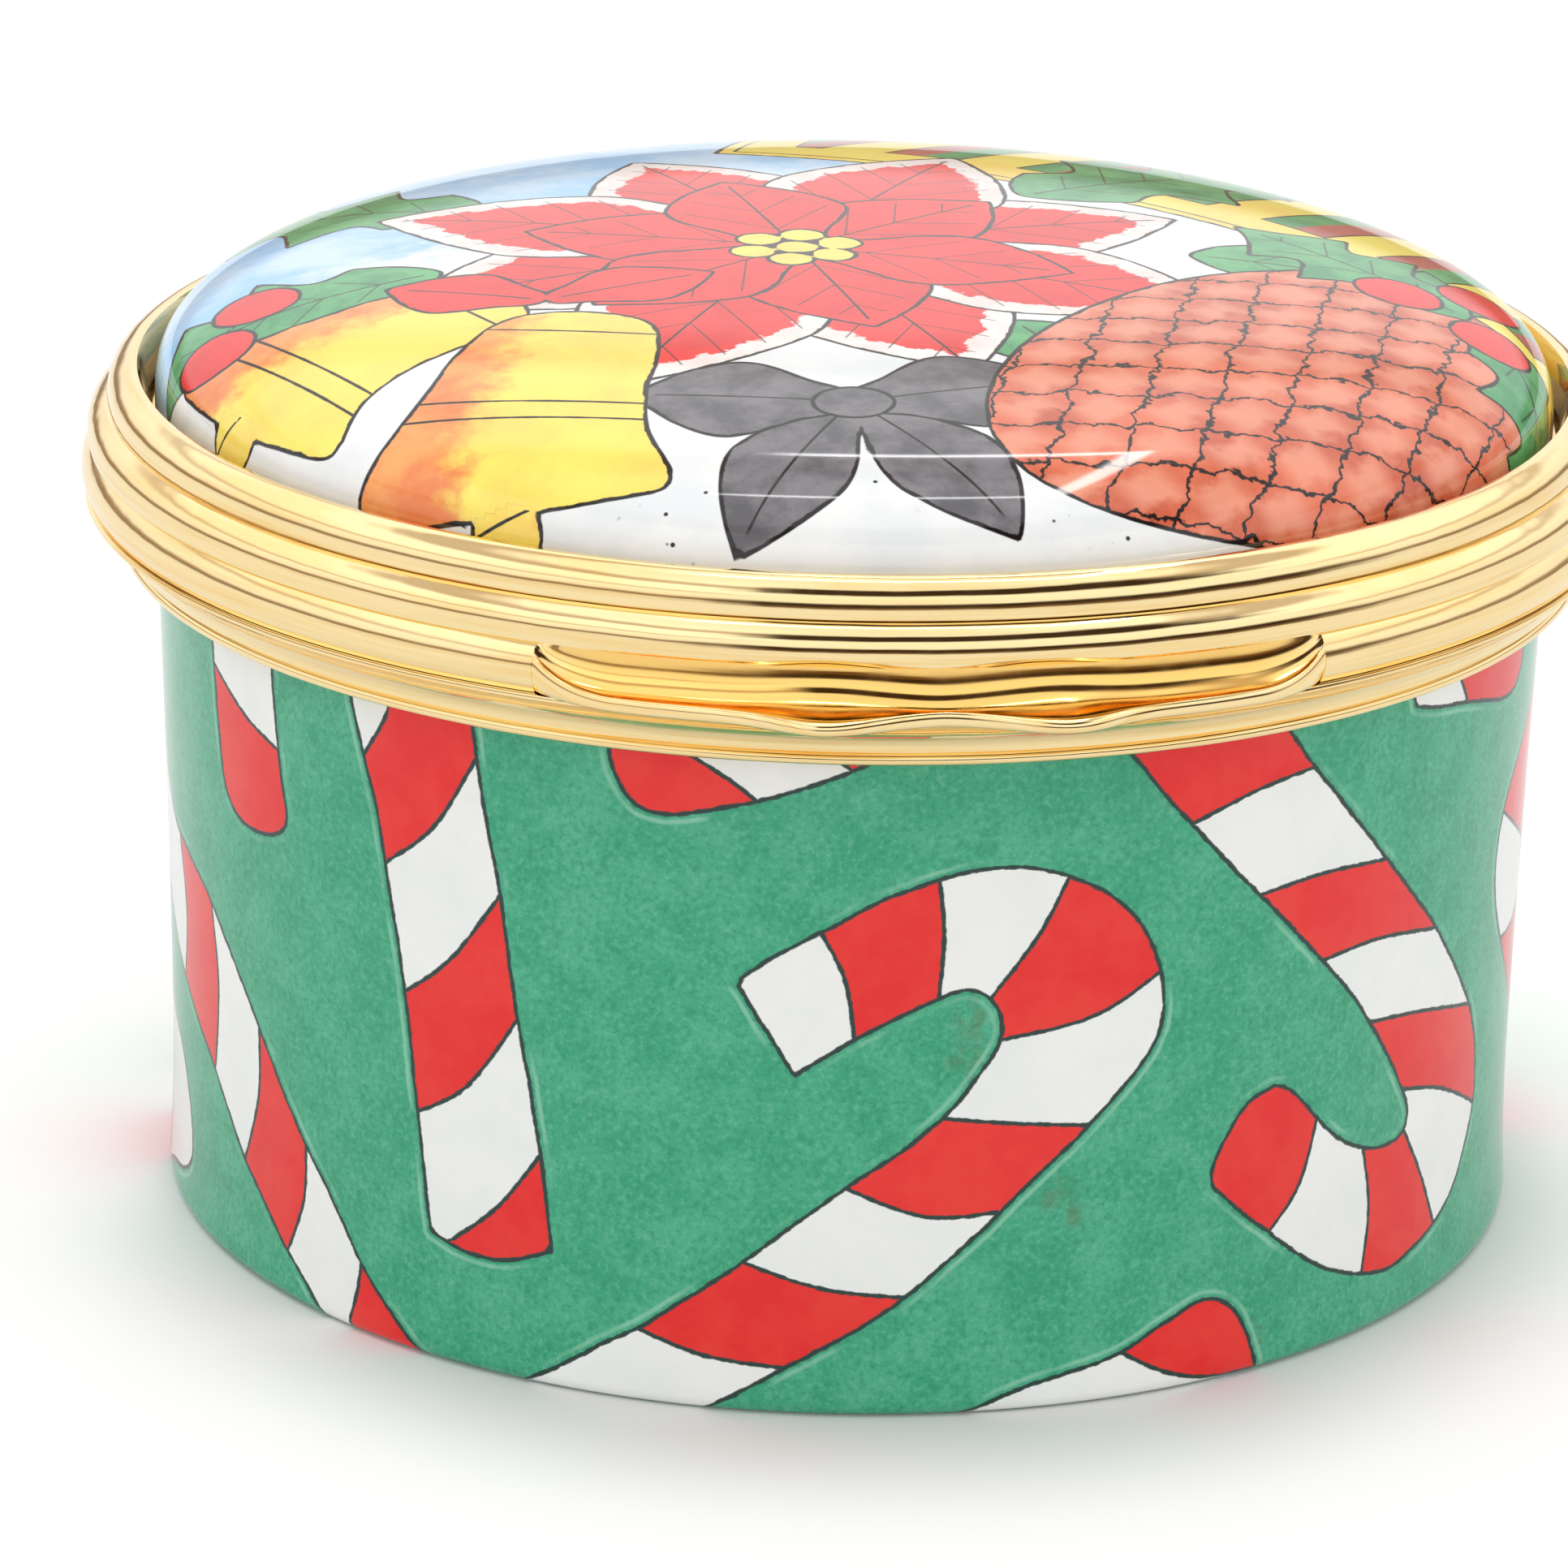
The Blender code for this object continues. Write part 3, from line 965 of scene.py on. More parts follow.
    @staticmethod
    def stripe(points: np.ndarray, cane: Cane) -> np.ndarray:
        """Measure the distance to the nearest rib, positive in red and negative in white.

        Args:
            points: Points on the unrolled wall.
            cane: The cane.

        Returns:
            The signed distance of each point.
        """
        nearest = np.full(len(points), FAR)
        signed = np.full(len(points), FAR if cane.red_first else -FAR)
        for index, rib in enumerate(cane.ribs):
            side = side_distance(points, smooth_loop(rib, closed=False, steps=6))
            red_after = (index % 2 == 0) != cane.red_first
            closer = np.abs(side) < nearest
            nearest[closer] = np.abs(side[closer])
            signed[closer] = side[closer] if red_after else -side[closer]
        return signed

    def material(self) -> bpy.types.Material:
        """Build the enamel with its print.

        Returns:
            The material.
        """
        shader = Shader("green_enamel")
        position = shader.position()
        edge, stripe, outside = shader.drawn("cane")
        wander = shader.noise(position, 1.1, 3.0, 0.6)
        fine = shader.noise(position, 3.6, 2.0, 0.6)
        ground = self.green.colour(shader, position)
        grain = shader.noise(position, 5.5, 2.0, 0.7)
        ground = shader.mix(shader.ramp(grain, 0.5, 0.72, 0.0, 0.5), ground, self.pale_grain)
        ground = shader.mix(shader.ramp(grain, 0.5, 0.3, 0.0, 0.45), ground, self.dark_grain)
        patchy = shader.ramp(shader.noise(position, 1.8, 3.0, 0.6), 0.36, 0.68, 0.0, 0.5)
        stained = shader.product(shader.ramp(shader.drawn("stain")[0], 0.0, 0.7), patchy)
        ground = shader.mix(stained, ground, self.stain_brown)
        red = self.red.colour(shader, position)
        white = self.white.colour(shader, position)
        stripes = shader.mix(shader.ramp(stripe, -PRINT_EDGE, PRINT_EDGE), white, red)
        wobbled = shader.uneven(edge, wander, self.edge_wander)
        broken = shader.ramp(shader.noise(position, 0.3, 2.0, 0.5), 0.44, 0.6, 0.0, 0.55)
        halo = shader.product(shader.ramp(wobbled, 0.12, 0.19), shader.fall(wobbled, 0.24, 0.32))
        ground = shader.mix(shader.product(halo, broken), ground, self.halo)
        body = shader.mix(shader.ramp(wobbled, -PRINT_EDGE, PRINT_EDGE), stripes, ground)
        edge_ink = self.ink.cover(shader, wobbled, fine)
        rib_ink = self.ink.cover(shader, stripe, fine)
        rib_ink = shader.product(rib_ink, shader.fall(wobbled, -0.04, 0.0))
        body = shader.mix(shader.most(edge_ink, rib_ink), body, INK)
        colour = shader.mix(shader.ramp(outside, 0.45, 0.55), ENAMEL_WHITE, body)
        return shader.finish(colour, 0.07, IOR=ENAMEL_IOR)

    def lay_out(self, bm: bmesh.types.BMesh) -> None:
        """Lay the mesh out for baking: the outer wall as two long strips, the rest beside them.

        Args:
            bm: The cup in millimetres.
        """
        layer = bm.loops.layers.uv.new(BAKE_LAYER)
        inner_reach = self.waist_radius - self.wall - self.inner_round
        for face in bm.faces:
            centre = face.calc_center_median()
            heading = math.atan2(centre.x, -centre.y)
            flat = math.hypot(centre.x, centre.y)
            outer = flat > self.radius(max(centre.z, 0)) - 0.3 and centre.z > 0
            for loop in face.loops:
                co = loop.vert.co
                turn = math.atan2(co.x, -co.y) if co.xy.length > NEAR_AXIS else heading
                turn = heading + (turn - heading + math.pi) % (2 * math.pi) - math.pi
                share = turn / math.pi
                if outer:
                    row = 0 if heading < 0 else 1
                    u = self.uv_margin + self.uv_length * (share + 1 - row)
                    v = self.uv_margin + self.uv_row * row + self.uv_wall * co.z / self.top
                elif centre.z > self.floor + self.uv_above_floor and flat > inner_reach:
                    u = self.uv_margin + self.uv_length * (share + 1) / 2
                    v = self.uv_inside[0] + self.uv_inside[1] * (co.z - self.floor) / self.top
                else:
                    middle = self.uv_discs[0 if centre.z < self.floor / 2 else 1]
                    u = middle + self.uv_disc_size * co.x / RIM_RADIUS
                    v = self.uv_disc_height + self.uv_disc_size * co.y / RIM_RADIUS
                loop[layer].uv = (u, v)

    def build(self) -> None:
        """Make the cup, print it and place it."""
        bm = turned(self.outline(), False, -90, FULL_TURN, self.segments)
        bmesh.ops.recalc_face_normals(bm, faces=bm.faces)
        self.lay_out(bm)
        piece = mesh_piece("enamelled_cup", bm)
        self.print_canes(piece.data)
        place(piece, self.material(), Body.BASE, Slot.GREEN_ENAMEL, "enamel_body")


# The two gilt bands


@dataclass
class BaseBand:
    """The gilt band round the cup's rim: a ledge, a coved skirt and a rim inside."""

    ledge_plate: float = 0.8
    ledge_edge: float = 0.15
    skirt_outer: float = 20.9
    skirt_inner: float = 20.0
    skirt_depth: float = 1.55
    foot_bead: float = 0.16
    seam_rise: float = 0.05
    upstand_outer: float = 19.2
    upstand_inner: float = 18.7
    rim_height: float = 1.6
    segments: int = 320
    cove_steps: int = 14

    def outline(self) -> Outline:
        """List the closed section.

        Returns:
            The section's points.
        """
        top = PARTING_HEIGHT + self.seam_rise
        rim_top = PARTING_HEIGHT + self.rim_height
        foot = PARTING_HEIGHT - self.skirt_depth
        under = PARTING_HEIGHT - self.ledge_plate
        cove_top = top - self.ledge_edge
        points = [
            (LEDGE_RADIUS - 0.08, top), (LEDGE_RADIUS - 0.02, top - 0.03),
            (LEDGE_RADIUS, top - 0.08)
        ]
        for step in range(self.cove_steps):
            share = step / self.cove_steps
            radius = self.skirt_outer + (LEDGE_RADIUS - self.skirt_outer) * (1 - share) ** 2
            points.append((radius, cove_top + (foot + 2 * self.foot_bead - cove_top) * share))
        points += arc(
            (self.skirt_outer - self.foot_bead, foot + self.foot_bead), self.foot_bead, 70, -90, 8
        )
        points += [(self.skirt_inner, foot), (self.skirt_inner, under), (self.upstand_inner, under)]
        rounding = 0.15
        middle = self.upstand_inner + rounding
        points += arc((middle, rim_top - rounding), rounding, 180, 90, 4)
        points += arc((self.upstand_outer - rounding, rim_top - rounding), rounding, 90, 0, 4)
        points.append((self.upstand_outer, top))
        return points

    def build(self) -> None:
        """Make the band and place it."""
        piece = mesh_piece("base_band", turned(self.outline(), True, 0, FULL_TURN, self.segments))
        place(piece, GILT_BAND.material(), Body.BASE, Slot.GILT, "base_bezel")


@dataclass
class LidBand:
    """The gilt band round the lid: three reeds that step in towards a crest."""

    reed_heights: tuple[float, ...] = (1.34, 1.09, 1.07)
    reed_feet: tuple[float, ...] = (0.12, 0.13, 0.68)
    reed_tops: tuple[float, ...] = (0.25, 0.72, 1.3)
    reed_bulges: tuple[float, ...] = (0.28, 0.3, 0.27)
    seam_drop: float = 0.03
    crest_width: float = 0.3
    crest_drop: float = 0.2
    ledge_height: float = 1.75
    ledge_plate: float = 0.3
    ledge_width: float = 0.45
    inner_radius: float = 19.35
    well_radius: float = 20.0
    reed_steps: int = 12
    segments: int = 320
    notch_depth: float = 0.9
    notch_height: float = 1.33
    notch_half_angle: float = 28.55
    notch_clearance: float = 2.0
    notch_steps: int = 114
    reed_fullness: float = 0.8
    crest_round: Point = (0.1, 0.02)

    def face(self) -> Outline:
        """List the outer face from the foot up over the reeds to the crest.

        Returns:
            The face's points.
        """
        points = []
        foot = LID_BOTTOM
        for index, height in enumerate(self.reed_heights):
            low = Vector((LEDGE_RADIUS - self.reed_feet[index], foot + 0.01))
            high = Vector((LEDGE_RADIUS - self.reed_tops[index], foot + height))
            along = high - low
            outward = Vector((along.y, -along.x)).normalized()
            for step in range(self.reed_steps + 1):
                share = step / self.reed_steps
                fullness = math.sin(math.pi * share) ** self.reed_fullness
                point = low + along * share + outward * self.reed_bulges[index] * fullness
                points.append((point.x, point.y))
            foot += height
        return [(points[0][0] - 0.02, LID_BOTTOM - self.seam_drop)] + points

    def outline(self) -> Outline:
        """List the closed section.

        Returns:
            The section's points.
        """
        ledge_under = LID_BOTTOM + self.ledge_height
        ledge_top = ledge_under + self.ledge_plate
        points = self.face()
        crest_inner = points[-1][0] - self.crest_width
        crest = points[-1][1]
        points.append((crest_inner + self.crest_round[0], crest - self.crest_round[1]))
        points += [(crest_inner, crest - self.crest_drop), (self.well_radius, ledge_top)]
        points += [(self.inner_radius - self.ledge_width, ledge_top)]
        points += [
            (self.inner_radius - self.ledge_width, ledge_under), (self.inner_radius, ledge_under)
        ]
        points.append((self.inner_radius, LID_BOTTOM - self.seam_drop))
        return points

    def build(self) -> None:
        """Make the band, cut its lowest reed away for the thumb piece and place it."""
        piece = mesh_piece("lid_band", turned(self.outline(), True, 0, FULL_TURN, self.segments))
        combined(piece, mesh_piece("notch", self.notch()), "DIFFERENCE")
        place(piece, GILT_BAND.material(), Body.LID, Slot.GILT, "lid_bezel")

    def notch(self) -> bmesh.types.BMesh:
        """Make the solid that is cut from the lowest reed.

        Returns:
            The solid in millimetres.
        """
        inner, outer = WIDEST_REED - self.notch_depth, WIDEST_REED + self.notch_clearance
        low, high = LID_BOTTOM - 2 * self.seam_drop, LID_BOTTOM + self.notch_height
        half = self.notch_half_angle
        section = [(inner, low), (outer, low), (outer, high), (inner, high)]
        return turned(section, True, -90 - half, 2 * half, self.notch_steps)


@dataclass
class ThumbPiece:
    """The scooped thumb piece with its wavy lip."""

    half_angle: float = 28.8
    depth: float = 0.95
    height: float = 1.33
    lip_thickness: float = 0.4
    lip_reach: float = 1.64
    shoulder_reach: float = 0.8
    centre_dip: float = 0.22
    lobe_angle: float = 8.0
    lobe_spread: float = 4.0
    dip_spread: float = 3.0
    merge_half_angle: float = 28.5
    merge_angle: float = 6.5
    merge_share: float = 0.24
    merge_depth: float = 0.012
    trough: tuple[Point, ...] = (
        (-0.34, 0.0), (-0.33, 0.14), (-0.28, 0.38), (-0.16, 0.6), (0.02, 0.77), (0.28, 0.91),
        (0.6, 1.01), (0.9, 1.07), (1.12, 1.06), (1.3, 0.98), (1.38, 0.94)
    )
    # Reach past the widest reed over which the scoop's painted bounce glow fades out towards the
    # lip.
    painted_bounce_reach: Point = (1.1, 1.45)
    steps: int = 200

    def projection(self, degrees: float) -> float:
        """Find how far the lip stands out at an angle from the front.

        Args:
            degrees: Angle from the front.

        Returns:
            The reach past the widest reed.
        """
        lobe_reach = self.lip_reach - self.shoulder_reach
        lobe = lobe_reach * math.exp(-((abs(degrees) - self.lobe_angle) / self.lobe_spread) ** 2)
        dip = self.centre_dip * math.exp(-(degrees / self.dip_spread) ** 2)
        ends = max(1 - abs(degrees / (self.half_angle + 0.1)) ** 6, 0)
        return (self.shoulder_reach + lobe - dip) * math.sqrt(ends)

    def merging(self, degrees: float) -> float:
        """Find how far the piece has run into the reed at an angle from the front.

        Args:
            degrees: Angle from the front.

        Returns:
            0 away from the ends, 1 at them.
        """
        share = min(max(1 - (self.merge_half_angle - abs(degrees)) / self.merge_angle, 0), 1)
        return 1 - (1 - share**2) ** 0.75

    def outline(self) -> Outline:
        """List the closed section where the lip stands out furthest.

        Returns:
            The section's points.
        """
        inner = WIDEST_REED - self.depth
        foot = LID_BOTTOM + 0.02
        top = foot + self.height
        lip_radius = self.lip_thickness / 2
        lip_centre = (WIDEST_REED + self.lip_reach - lip_radius, foot + lip_radius)
        points = [(inner, foot), (inner, top)]
        drawn = smooth_loop(self.trough, closed=False, steps=3)
        points += [(WIDEST_REED + reach, top - drop) for reach, drop in drawn.tolist()]
        points += arc(lip_centre, lip_radius, 80, -90, LIP_STEPS)
        return points

    def merged(self) -> Outline:
        """List the section at the ends, where the scoop has closed up on the reed's own face.

        Returns:
            As many points as the outline has, a hair inside the reed.
        """
        band = LidBand()
        face = band.face()[1 : band.reed_steps + 2][::-1]
        section = self.outline()
        lip = len(section) - LIP_STEPS - 1
        places = []
        for index in range(2, len(section)):
            if index < lip:
                down = self.merge_share * (index - 2) / (lip - 2)
            else:
                down = self.merge_share + (1 - self.merge_share) * (index - lip) / LIP_STEPS
            place = down * (len(face) - 1)
            first = min(int(place), len(face) - 2)
            point = Vector(face[first]).lerp(Vector(face[first + 1]), place - first)
            places.append((point.x - self.merge_depth, point.y))
        return section[:2] + places

    def build(self) -> None:
        """Make the thumb piece, draw its lip to its wavy edge, store the mask of its painted bounce
        glow and place it.
        """
        section, ends = self.outline(), self.merged()
        bm = turned(section, True, -90 - self.half_angle, 2 * self.half_angle, self.steps)
        scoop_edge = WIDEST_REED - 0.45
        full = WIDEST_REED + self.lip_reach - scoop_edge
        top = LID_BOTTOM + 0.02 + self.height
        near, far = self.painted_bounce_reach
        # Mask of the painted bounce glow: full deep in the scoop, fading towards the lip and where
        # the ends run into the reed.
        painted_bounce = bm.verts.layers.float_vector.new("painted_bounce")
        for vert in bm.verts:
            radius = math.hypot(vert.co.x, vert.co.y)
            end = min(
                zip(section, ends), key=lambda pair: math.dist(pair[0], (radius, vert.co.z))
            )[1]
            degrees = math.degrees(math.atan2(vert.co.x, -vert.co.y))
            merging = self.merging(degrees)
            outward = (radius - WIDEST_REED - near) / (far - near)
            within = vert.co.z < top - 0.03 and vert.co.z > top - self.height + 0.1
            vert[painted_bounce] = Vector(
                (min(max(1 - outward, 0), 1) * (1 - merging) if within else 0, 0, 0)
            )
            share = max((radius - scoop_edge) / full, 0)
            drawn = radius
            if radius > scoop_edge:
                drawn = scoop_edge + share * (WIDEST_REED + self.projection(degrees) - scoop_edge)
            drawn += merging * (end[0] - drawn)
            vert.co.x *= drawn / radius
            vert.co.y *= drawn / radius
            vert.co.z += merging * (end[1] - vert.co.z)
        piece = mesh_piece("thumb_scoop", bm)
        place(piece, GILT_THUMB.material(), Body.LID, Slot.GILT, "thumb_piece")


# The enamelled lid and its winter flower picture


@dataclass(frozen=True)
class Motif:
    """One drawn shape of the lid's picture in plan, with the axis that its markings follow."""

    loop: Outline
    start: Point
    end: Point


def turned_shape(points: Outline, centre: Point, heading: float) -> Outline:
    """Turn a shape drawn along +Y about the origin and set it down.

    Args:
        points: The shape's points.
        centre: Where its origin goes.
        heading: Angle that its +Y points to, in degrees from +X.

    Returns:
        The placed points.
    """
    angle = math.radians(heading - 90)
    c, s = math.cos(angle), math.sin(angle)
    return [(centre[0] + c * x - s * y, centre[1] + s * x + c * y) for x, y in points]


def motif(points: Outline, length: float, centre: Point, heading: float) -> Motif:
    """Set down a shape drawn along +Y with its axis from its origin to its length.

    Args:
        points: The shape's points.
        length: Length of its axis.
        centre: Where its origin goes.
        heading: Where its axis points, in degrees from +X.

    Returns:
        The placed motif.
    """
    start, end = turned_shape([(0, 0), (0, length)], centre, heading)
    return Motif(turned_shape(points, centre, heading), start, end)


def bract(centre: Point, heading: float, length: float, width: float) -> Motif:
    """Draw a pointed flower bract.

    Args:
        centre: Middle of the flower.
        heading: Where it points, in degrees from +X.
        length: Its length from the middle.
        width: Its greatest width.

    Returns:
        The motif.
    """
    half = width / 2
    side = [(0.25, 0.02), (0.55, 0.22), (0.92, 0.42), (1.0, 0.58), (0.72, 0.76), (0.34, 0.9)]
    right = [(x * half, y * length) for x, y in side]
    left = [(-x * half, y * length) for x, y in reversed(side)]
    return motif(right + [(0, length)] * 2 + left, length, centre, heading)


def holly_leaf(centre: Point, heading: float, length: float, width: float) -> Motif:
    """Draw a spiny leaf.

    Args:
        centre: Foot of the leaf.
        heading: Where it points, in degrees from +X.
        length: Its length.
        width: Its greatest width.

    Returns:
        The motif.
    """
    half = width / 2
    right: Outline = [(0.1 * half, 0.0)]
    spikes = ((0.16, 0.62), (0.42, 1.0), (0.68, 0.82))
    for height, reach in spikes:
        right += [(0.42 * half * (1 + reach) / 1.7, (height - 0.08) * length)]
        right += [(reach * half, (height + 0.04) * length)] * 2
    right += [(0.3 * half, 0.86 * length)]
    left = [(-x, y) for x, y in reversed(right)]
    return motif(right + [(0, length)] * 2 + left, length, centre, heading)


def ellipse(centre: Point, across: float, along: float, heading: float = 90.0) -> Motif:
    """Draw an ellipse.

    Args:
        centre: Its middle.
        across: Half its width.
        along: Half its length.
        heading: Where its length points, in degrees from +X.

    Returns:
        The motif.
    """
    points = [
        (across * math.sin(a * math.tau / 10), along * (1 - math.cos(a * math.tau / 10)))
        for a in range(10)
    ]
    foot = turned_shape([(0, -along)], centre, heading)[0]
    return motif(points, 2 * along, foot, heading)


def bell(top: Point, heading: float, length: float, width: float) -> Motif:
    """Draw a bell with a flared mouth.

    Args:
        top: Its crown.
        heading: Where its mouth points, in degrees from +X.
        length: Its length.
        width: Width of its mouth.

    Returns:
        The motif.
    """
    half = width / 2
    side = [
        (0.18, 0.0), (0.46, 0.08), (0.6, 0.3), (0.66, 0.55), (0.78, 0.76), (1.0, 0.93), (1.0, 0.93),
        (0.92, 1.02)
    ]
    right = [(x * half, y * length) for x, y in side]
    left = [(-x, y) for x, y in reversed(right)]
    return motif(right + [(0, 1.08 * length)] + left, length, top, heading)


def cone(foot: Point, heading: float, length: float, width: float) -> Motif:
    """Draw a fir cone.

    Args:
        foot: Its stalk end.
        heading: Where its tip points, in degrees from +X.
        length: Its length.
        width: Its greatest width.

    Returns:
        The motif.
    """
    half = width / 2
    side = [(0.35, 0.0), (0.8, 0.08), (1.0, 0.28), (0.98, 0.5), (0.78, 0.74), (0.42, 0.93)]
    right = [(x * half, y * length) for x, y in side]
    left = [(-x, y) for x, y in reversed(right)]
    return motif(right + [(0, length)] + left, length, foot, heading)


class LidPaint(Enum):
    """The washes that the lid's picture is painted with."""

    SNOW = Wash(paint(236, 236, 234), paint(218, 222, 226), 0.6, 0.3)
    SKY = Wash(paint(150, 200, 240), paint(206, 228, 246), 0.9, 0.25)
    YELLOW = Wash(paint(246, 228, 104), paint(248, 208, 100), 0.8, 0.35)
    ORANGE = Wash(paint(242, 164, 92), paint(230, 124, 72), 0.9, 0.5)
    GREEN = Wash(paint(96, 176, 112), paint(48, 136, 86), 0.9, 0.5)
    RED = Wash(paint(240, 46, 40), paint(206, 22, 24), 0.7, 0.4)
    CREAM = Wash(paint(238, 234, 230), paint(236, 206, 198), 0.7, 0.6)
    CLAY = Wash(paint(222, 116, 84), paint(190, 84, 56), 0.85, 0.4)
    BRICK = Wash(paint(196, 104, 92), paint(168, 84, 74), 0.8, 0.6)
    SLATE = Wash(paint(126, 122, 126), paint(86, 84, 88), 0.9, 0.7)


class LidPainter:
    """Paints the lid's picture layer by layer, each over the colour below it."""

    edge_wander = 0.16
    vein_line = InkLine(0.04, 0.02, 0.02)
    hem_line = InkLine(0.05, 0.03, 0.02)
    hoop_line = InkLine(0.05, 0.02, 0.03)
    hoop_levels = (1.5, 6.3, 7.2)
    sky_lean = 0.6
    sky_wander = 5.0
    sky_edge = (9.5, 12.5)
    pane_pitch = 2.1
    hem_inset = 0.5
    scale_pitch = 1.15
    scale_lean = 0.7
    lit_clay = paint(236, 158, 130)
    dot_scale = 1.9

    def __init__(self, shader: Shader, ink: InkLine) -> None:
        """Start with the sky and the snow behind everything.

        Args:
            shader: The material being built.
            ink: How the outlines are drawn.
        """
        self.shader = shader
        self.ink = ink
        self.position = shader.position()
        self.wander = shader.noise(self.position, 1.2, 3.0, 0.6)
        x, y, _ = shader.parts(self.position)
        slope = shader.math("SUBTRACT", y, shader.product(x, self.sky_lean))
        horizon = shader.math("MULTIPLY_ADD", self.wander, self.sky_wander, slope)
        sky = shader.ramp(horizon, *self.sky_edge)
        self.colour = shader.mix(sky, self.wash(LidPaint.SNOW), self.wash(LidPaint.SKY))

    def wash(self, paint_kind: LidPaint) -> bpy.types.NodeSocket:
        """Lay one of the picture's paints on."""
        return paint_kind.value.colour(self.shader, self.position)

    def layer(self, name: str, fill: Source, ink: bpy.types.NodeSocket | None = None) -> None:
        """Paint one layer over those below it, with ink round it.

        Args:
            name: The layer's attribute.
            fill: Its own colour.
            ink: Where ink marks it inside, or None.
        """
        shader = self.shader
        edge = shader.uneven(shader.drawn(name)[0], self.wander, self.edge_wander)
        if ink is not None:
            fill = shader.mix(ink, fill, LID_INK)
        painted = shader.mix(shader.fall(edge, -PRINT_EDGE, PRINT_EDGE), self.colour, fill)
        self.colour = shader.mix(self.ink.cover(shader, edge, self.wander), painted, LID_INK)

    def veins(self, name: str, spacing: float, lean: float) -> bpy.types.NodeSocket:
        """Find the ink of a leaf's middle vein and side veins.

        Args:
            name: The layer's attribute.
            spacing: Distance between side veins.
            lean: How much they lean forward.

        Returns:
            1 on a vein.
        """
        shader = self.shader
        edge, across, along = shader.drawn(name)
        middle = self.vein_line.cover(shader, across, self.wander)
        slant = shader.math(
            "SUBTRACT", along, shader.product(shader.math("ABSOLUTE", across), lean)
        )
        side = shader.ramp(shader.math("PINGPONG", slant, spacing / 2), 0.02, 0.07, 0.75, 0.0)
        return shader.product(shader.most(middle, side), shader.fall(edge, -0.55, -0.4))

    def leaves(self, name: str) -> None:
        """Paint a layer of holly leaves."""
        self.layer(name, self.wash(LidPaint.GREEN), self.veins(name, 1.7, 0.9))

    def ribbon(self) -> None:
        """Paint the yellow ribbon with its green and brick panes."""
        shader = self.shader
        edge, _, along = shader.drawn("ribbon")
        pane = shader.math("PINGPONG", along, self.pane_pitch)
        outlined = shader.product(shader.ramp(pane, 0.9, 0.96), shader.fall(edge, -2.06, -2.0))
        filled = shader.product(shader.ramp(pane, 1.0, 1.06), shader.fall(edge, -2.16, -2.1))
        half = shader.ramp(shader.math("PINGPONG", along, 2 * self.pane_pitch), 2.0, 2.2)
        panes = shader.mix(half, self.wash(LidPaint.GREEN), self.wash(LidPaint.BRICK))
        fill = shader.mix(outlined, self.wash(LidPaint.YELLOW), LID_INK)
        fill = shader.mix(filled, fill, panes)
        hem = self.hem_line.cover(shader, shader.total(edge, self.hem_inset), self.wander)
        self.layer("ribbon", fill, hem)

    def flower(self) -> None:
        """Paint the flower's bracts, the outer ones with a cream trim, and its beads."""
        shader = self.shader
        for name in ("low_bracts", "mid_bracts", "high_bracts", "top_bracts"):
            body = self.wash(LidPaint.RED)
            if name in ("low_bracts", "mid_bracts"):
                trim = shader.uneven(shader.drawn(name)[0], self.wander, 1.2)
                body = shader.mix(shader.ramp(trim, -0.86, -0.76), body, self.wash(LidPaint.CREAM))
            self.layer(name, body, self.veins(name, 2.0, 1.1))
        self.layer("beads", self.wash(LidPaint.YELLOW))

    def snow(self) -> None:
        """Paint the snow in front, with ink dots along its edge."""
        shader = self.shader
        edge = shader.uneven(shader.drawn("snow")[0], self.wander, 1.6)
        self.colour = shader.mix(
            shader.fall(edge, -0.1, 0.1), self.colour, self.wash(LidPaint.SNOW)
        )
        dots = shader.tree.nodes.new("ShaderNodeTexVoronoi")
        shader.feed(dots.inputs["Vector"], self.position)
        dots.inputs["Scale"].default_value = self.dot_scale
        dotted = shader.fall(dots.outputs["Distance"], 0.1, 0.17)
        band = shader.product(shader.ramp(edge, -2.6, -1.6), shader.fall(edge, -0.3, 0.1))
        self.colour = shader.mix(shader.product(dotted, band), self.colour, LID_INK)

    def bow(self) -> None:
        """Paint the dark bow: its tails, loops and knot."""
        for name in ("bow_tails", "bow_loops"):
            self.layer(name, self.wash(LidPaint.SLATE), self.veins(name, 9.0, 0.6))
        self.layer("bow_knot", self.wash(LidPaint.SLATE))

    def bells(self) -> None:
        """Paint both bells with their hoops, and the small red bow over them."""
        shader = self.shader
        for name in ("low_bell", "high_bell"):
            _, across, along = shader.drawn(name)
            shade = shader.ramp(shader.uneven(across, self.wander, 3.0), 0.6, 2.2)
            body = shader.mix(shade, self.wash(LidPaint.YELLOW), self.wash(LidPaint.ORANGE))
            hoops: Source = 0.0
            for level in self.hoop_levels:
                away = shader.math("SUBTRACT", along, level)
                hoops = shader.most(hoops, self.hoop_line.cover(shader, away, self.wander))
            self.layer(name, body, hoops)
        self.layer("bell_bow", self.wash(LidPaint.RED), self.veins("bell_bow", 9.0, 0.0))

    def cone(self) -> None:
        """Paint the fir cone with its crossed scales."""
        shader = self.shader
        _, across, along = shader.drawn("cone")
        lean = shader.product(along, self.scale_lean)
        across = shader.uneven(across, self.wander, 1.4)
        one = shader.math("PINGPONG", shader.total(across, lean), self.scale_pitch)
        two = shader.math("PINGPONG", shader.math("SUBTRACT", across, lean), self.scale_pitch)
        scales = shader.most(shader.fall(one, 0.04, 0.1), shader.fall(two, 0.04, 0.1))
        lit = shader.ramp(shader.total(one, two), 0.7, 1.9, 0.0, 0.7)
        self.layer("cone", shader.mix(lit, self.wash(LidPaint.CLAY), self.lit_clay), scales)

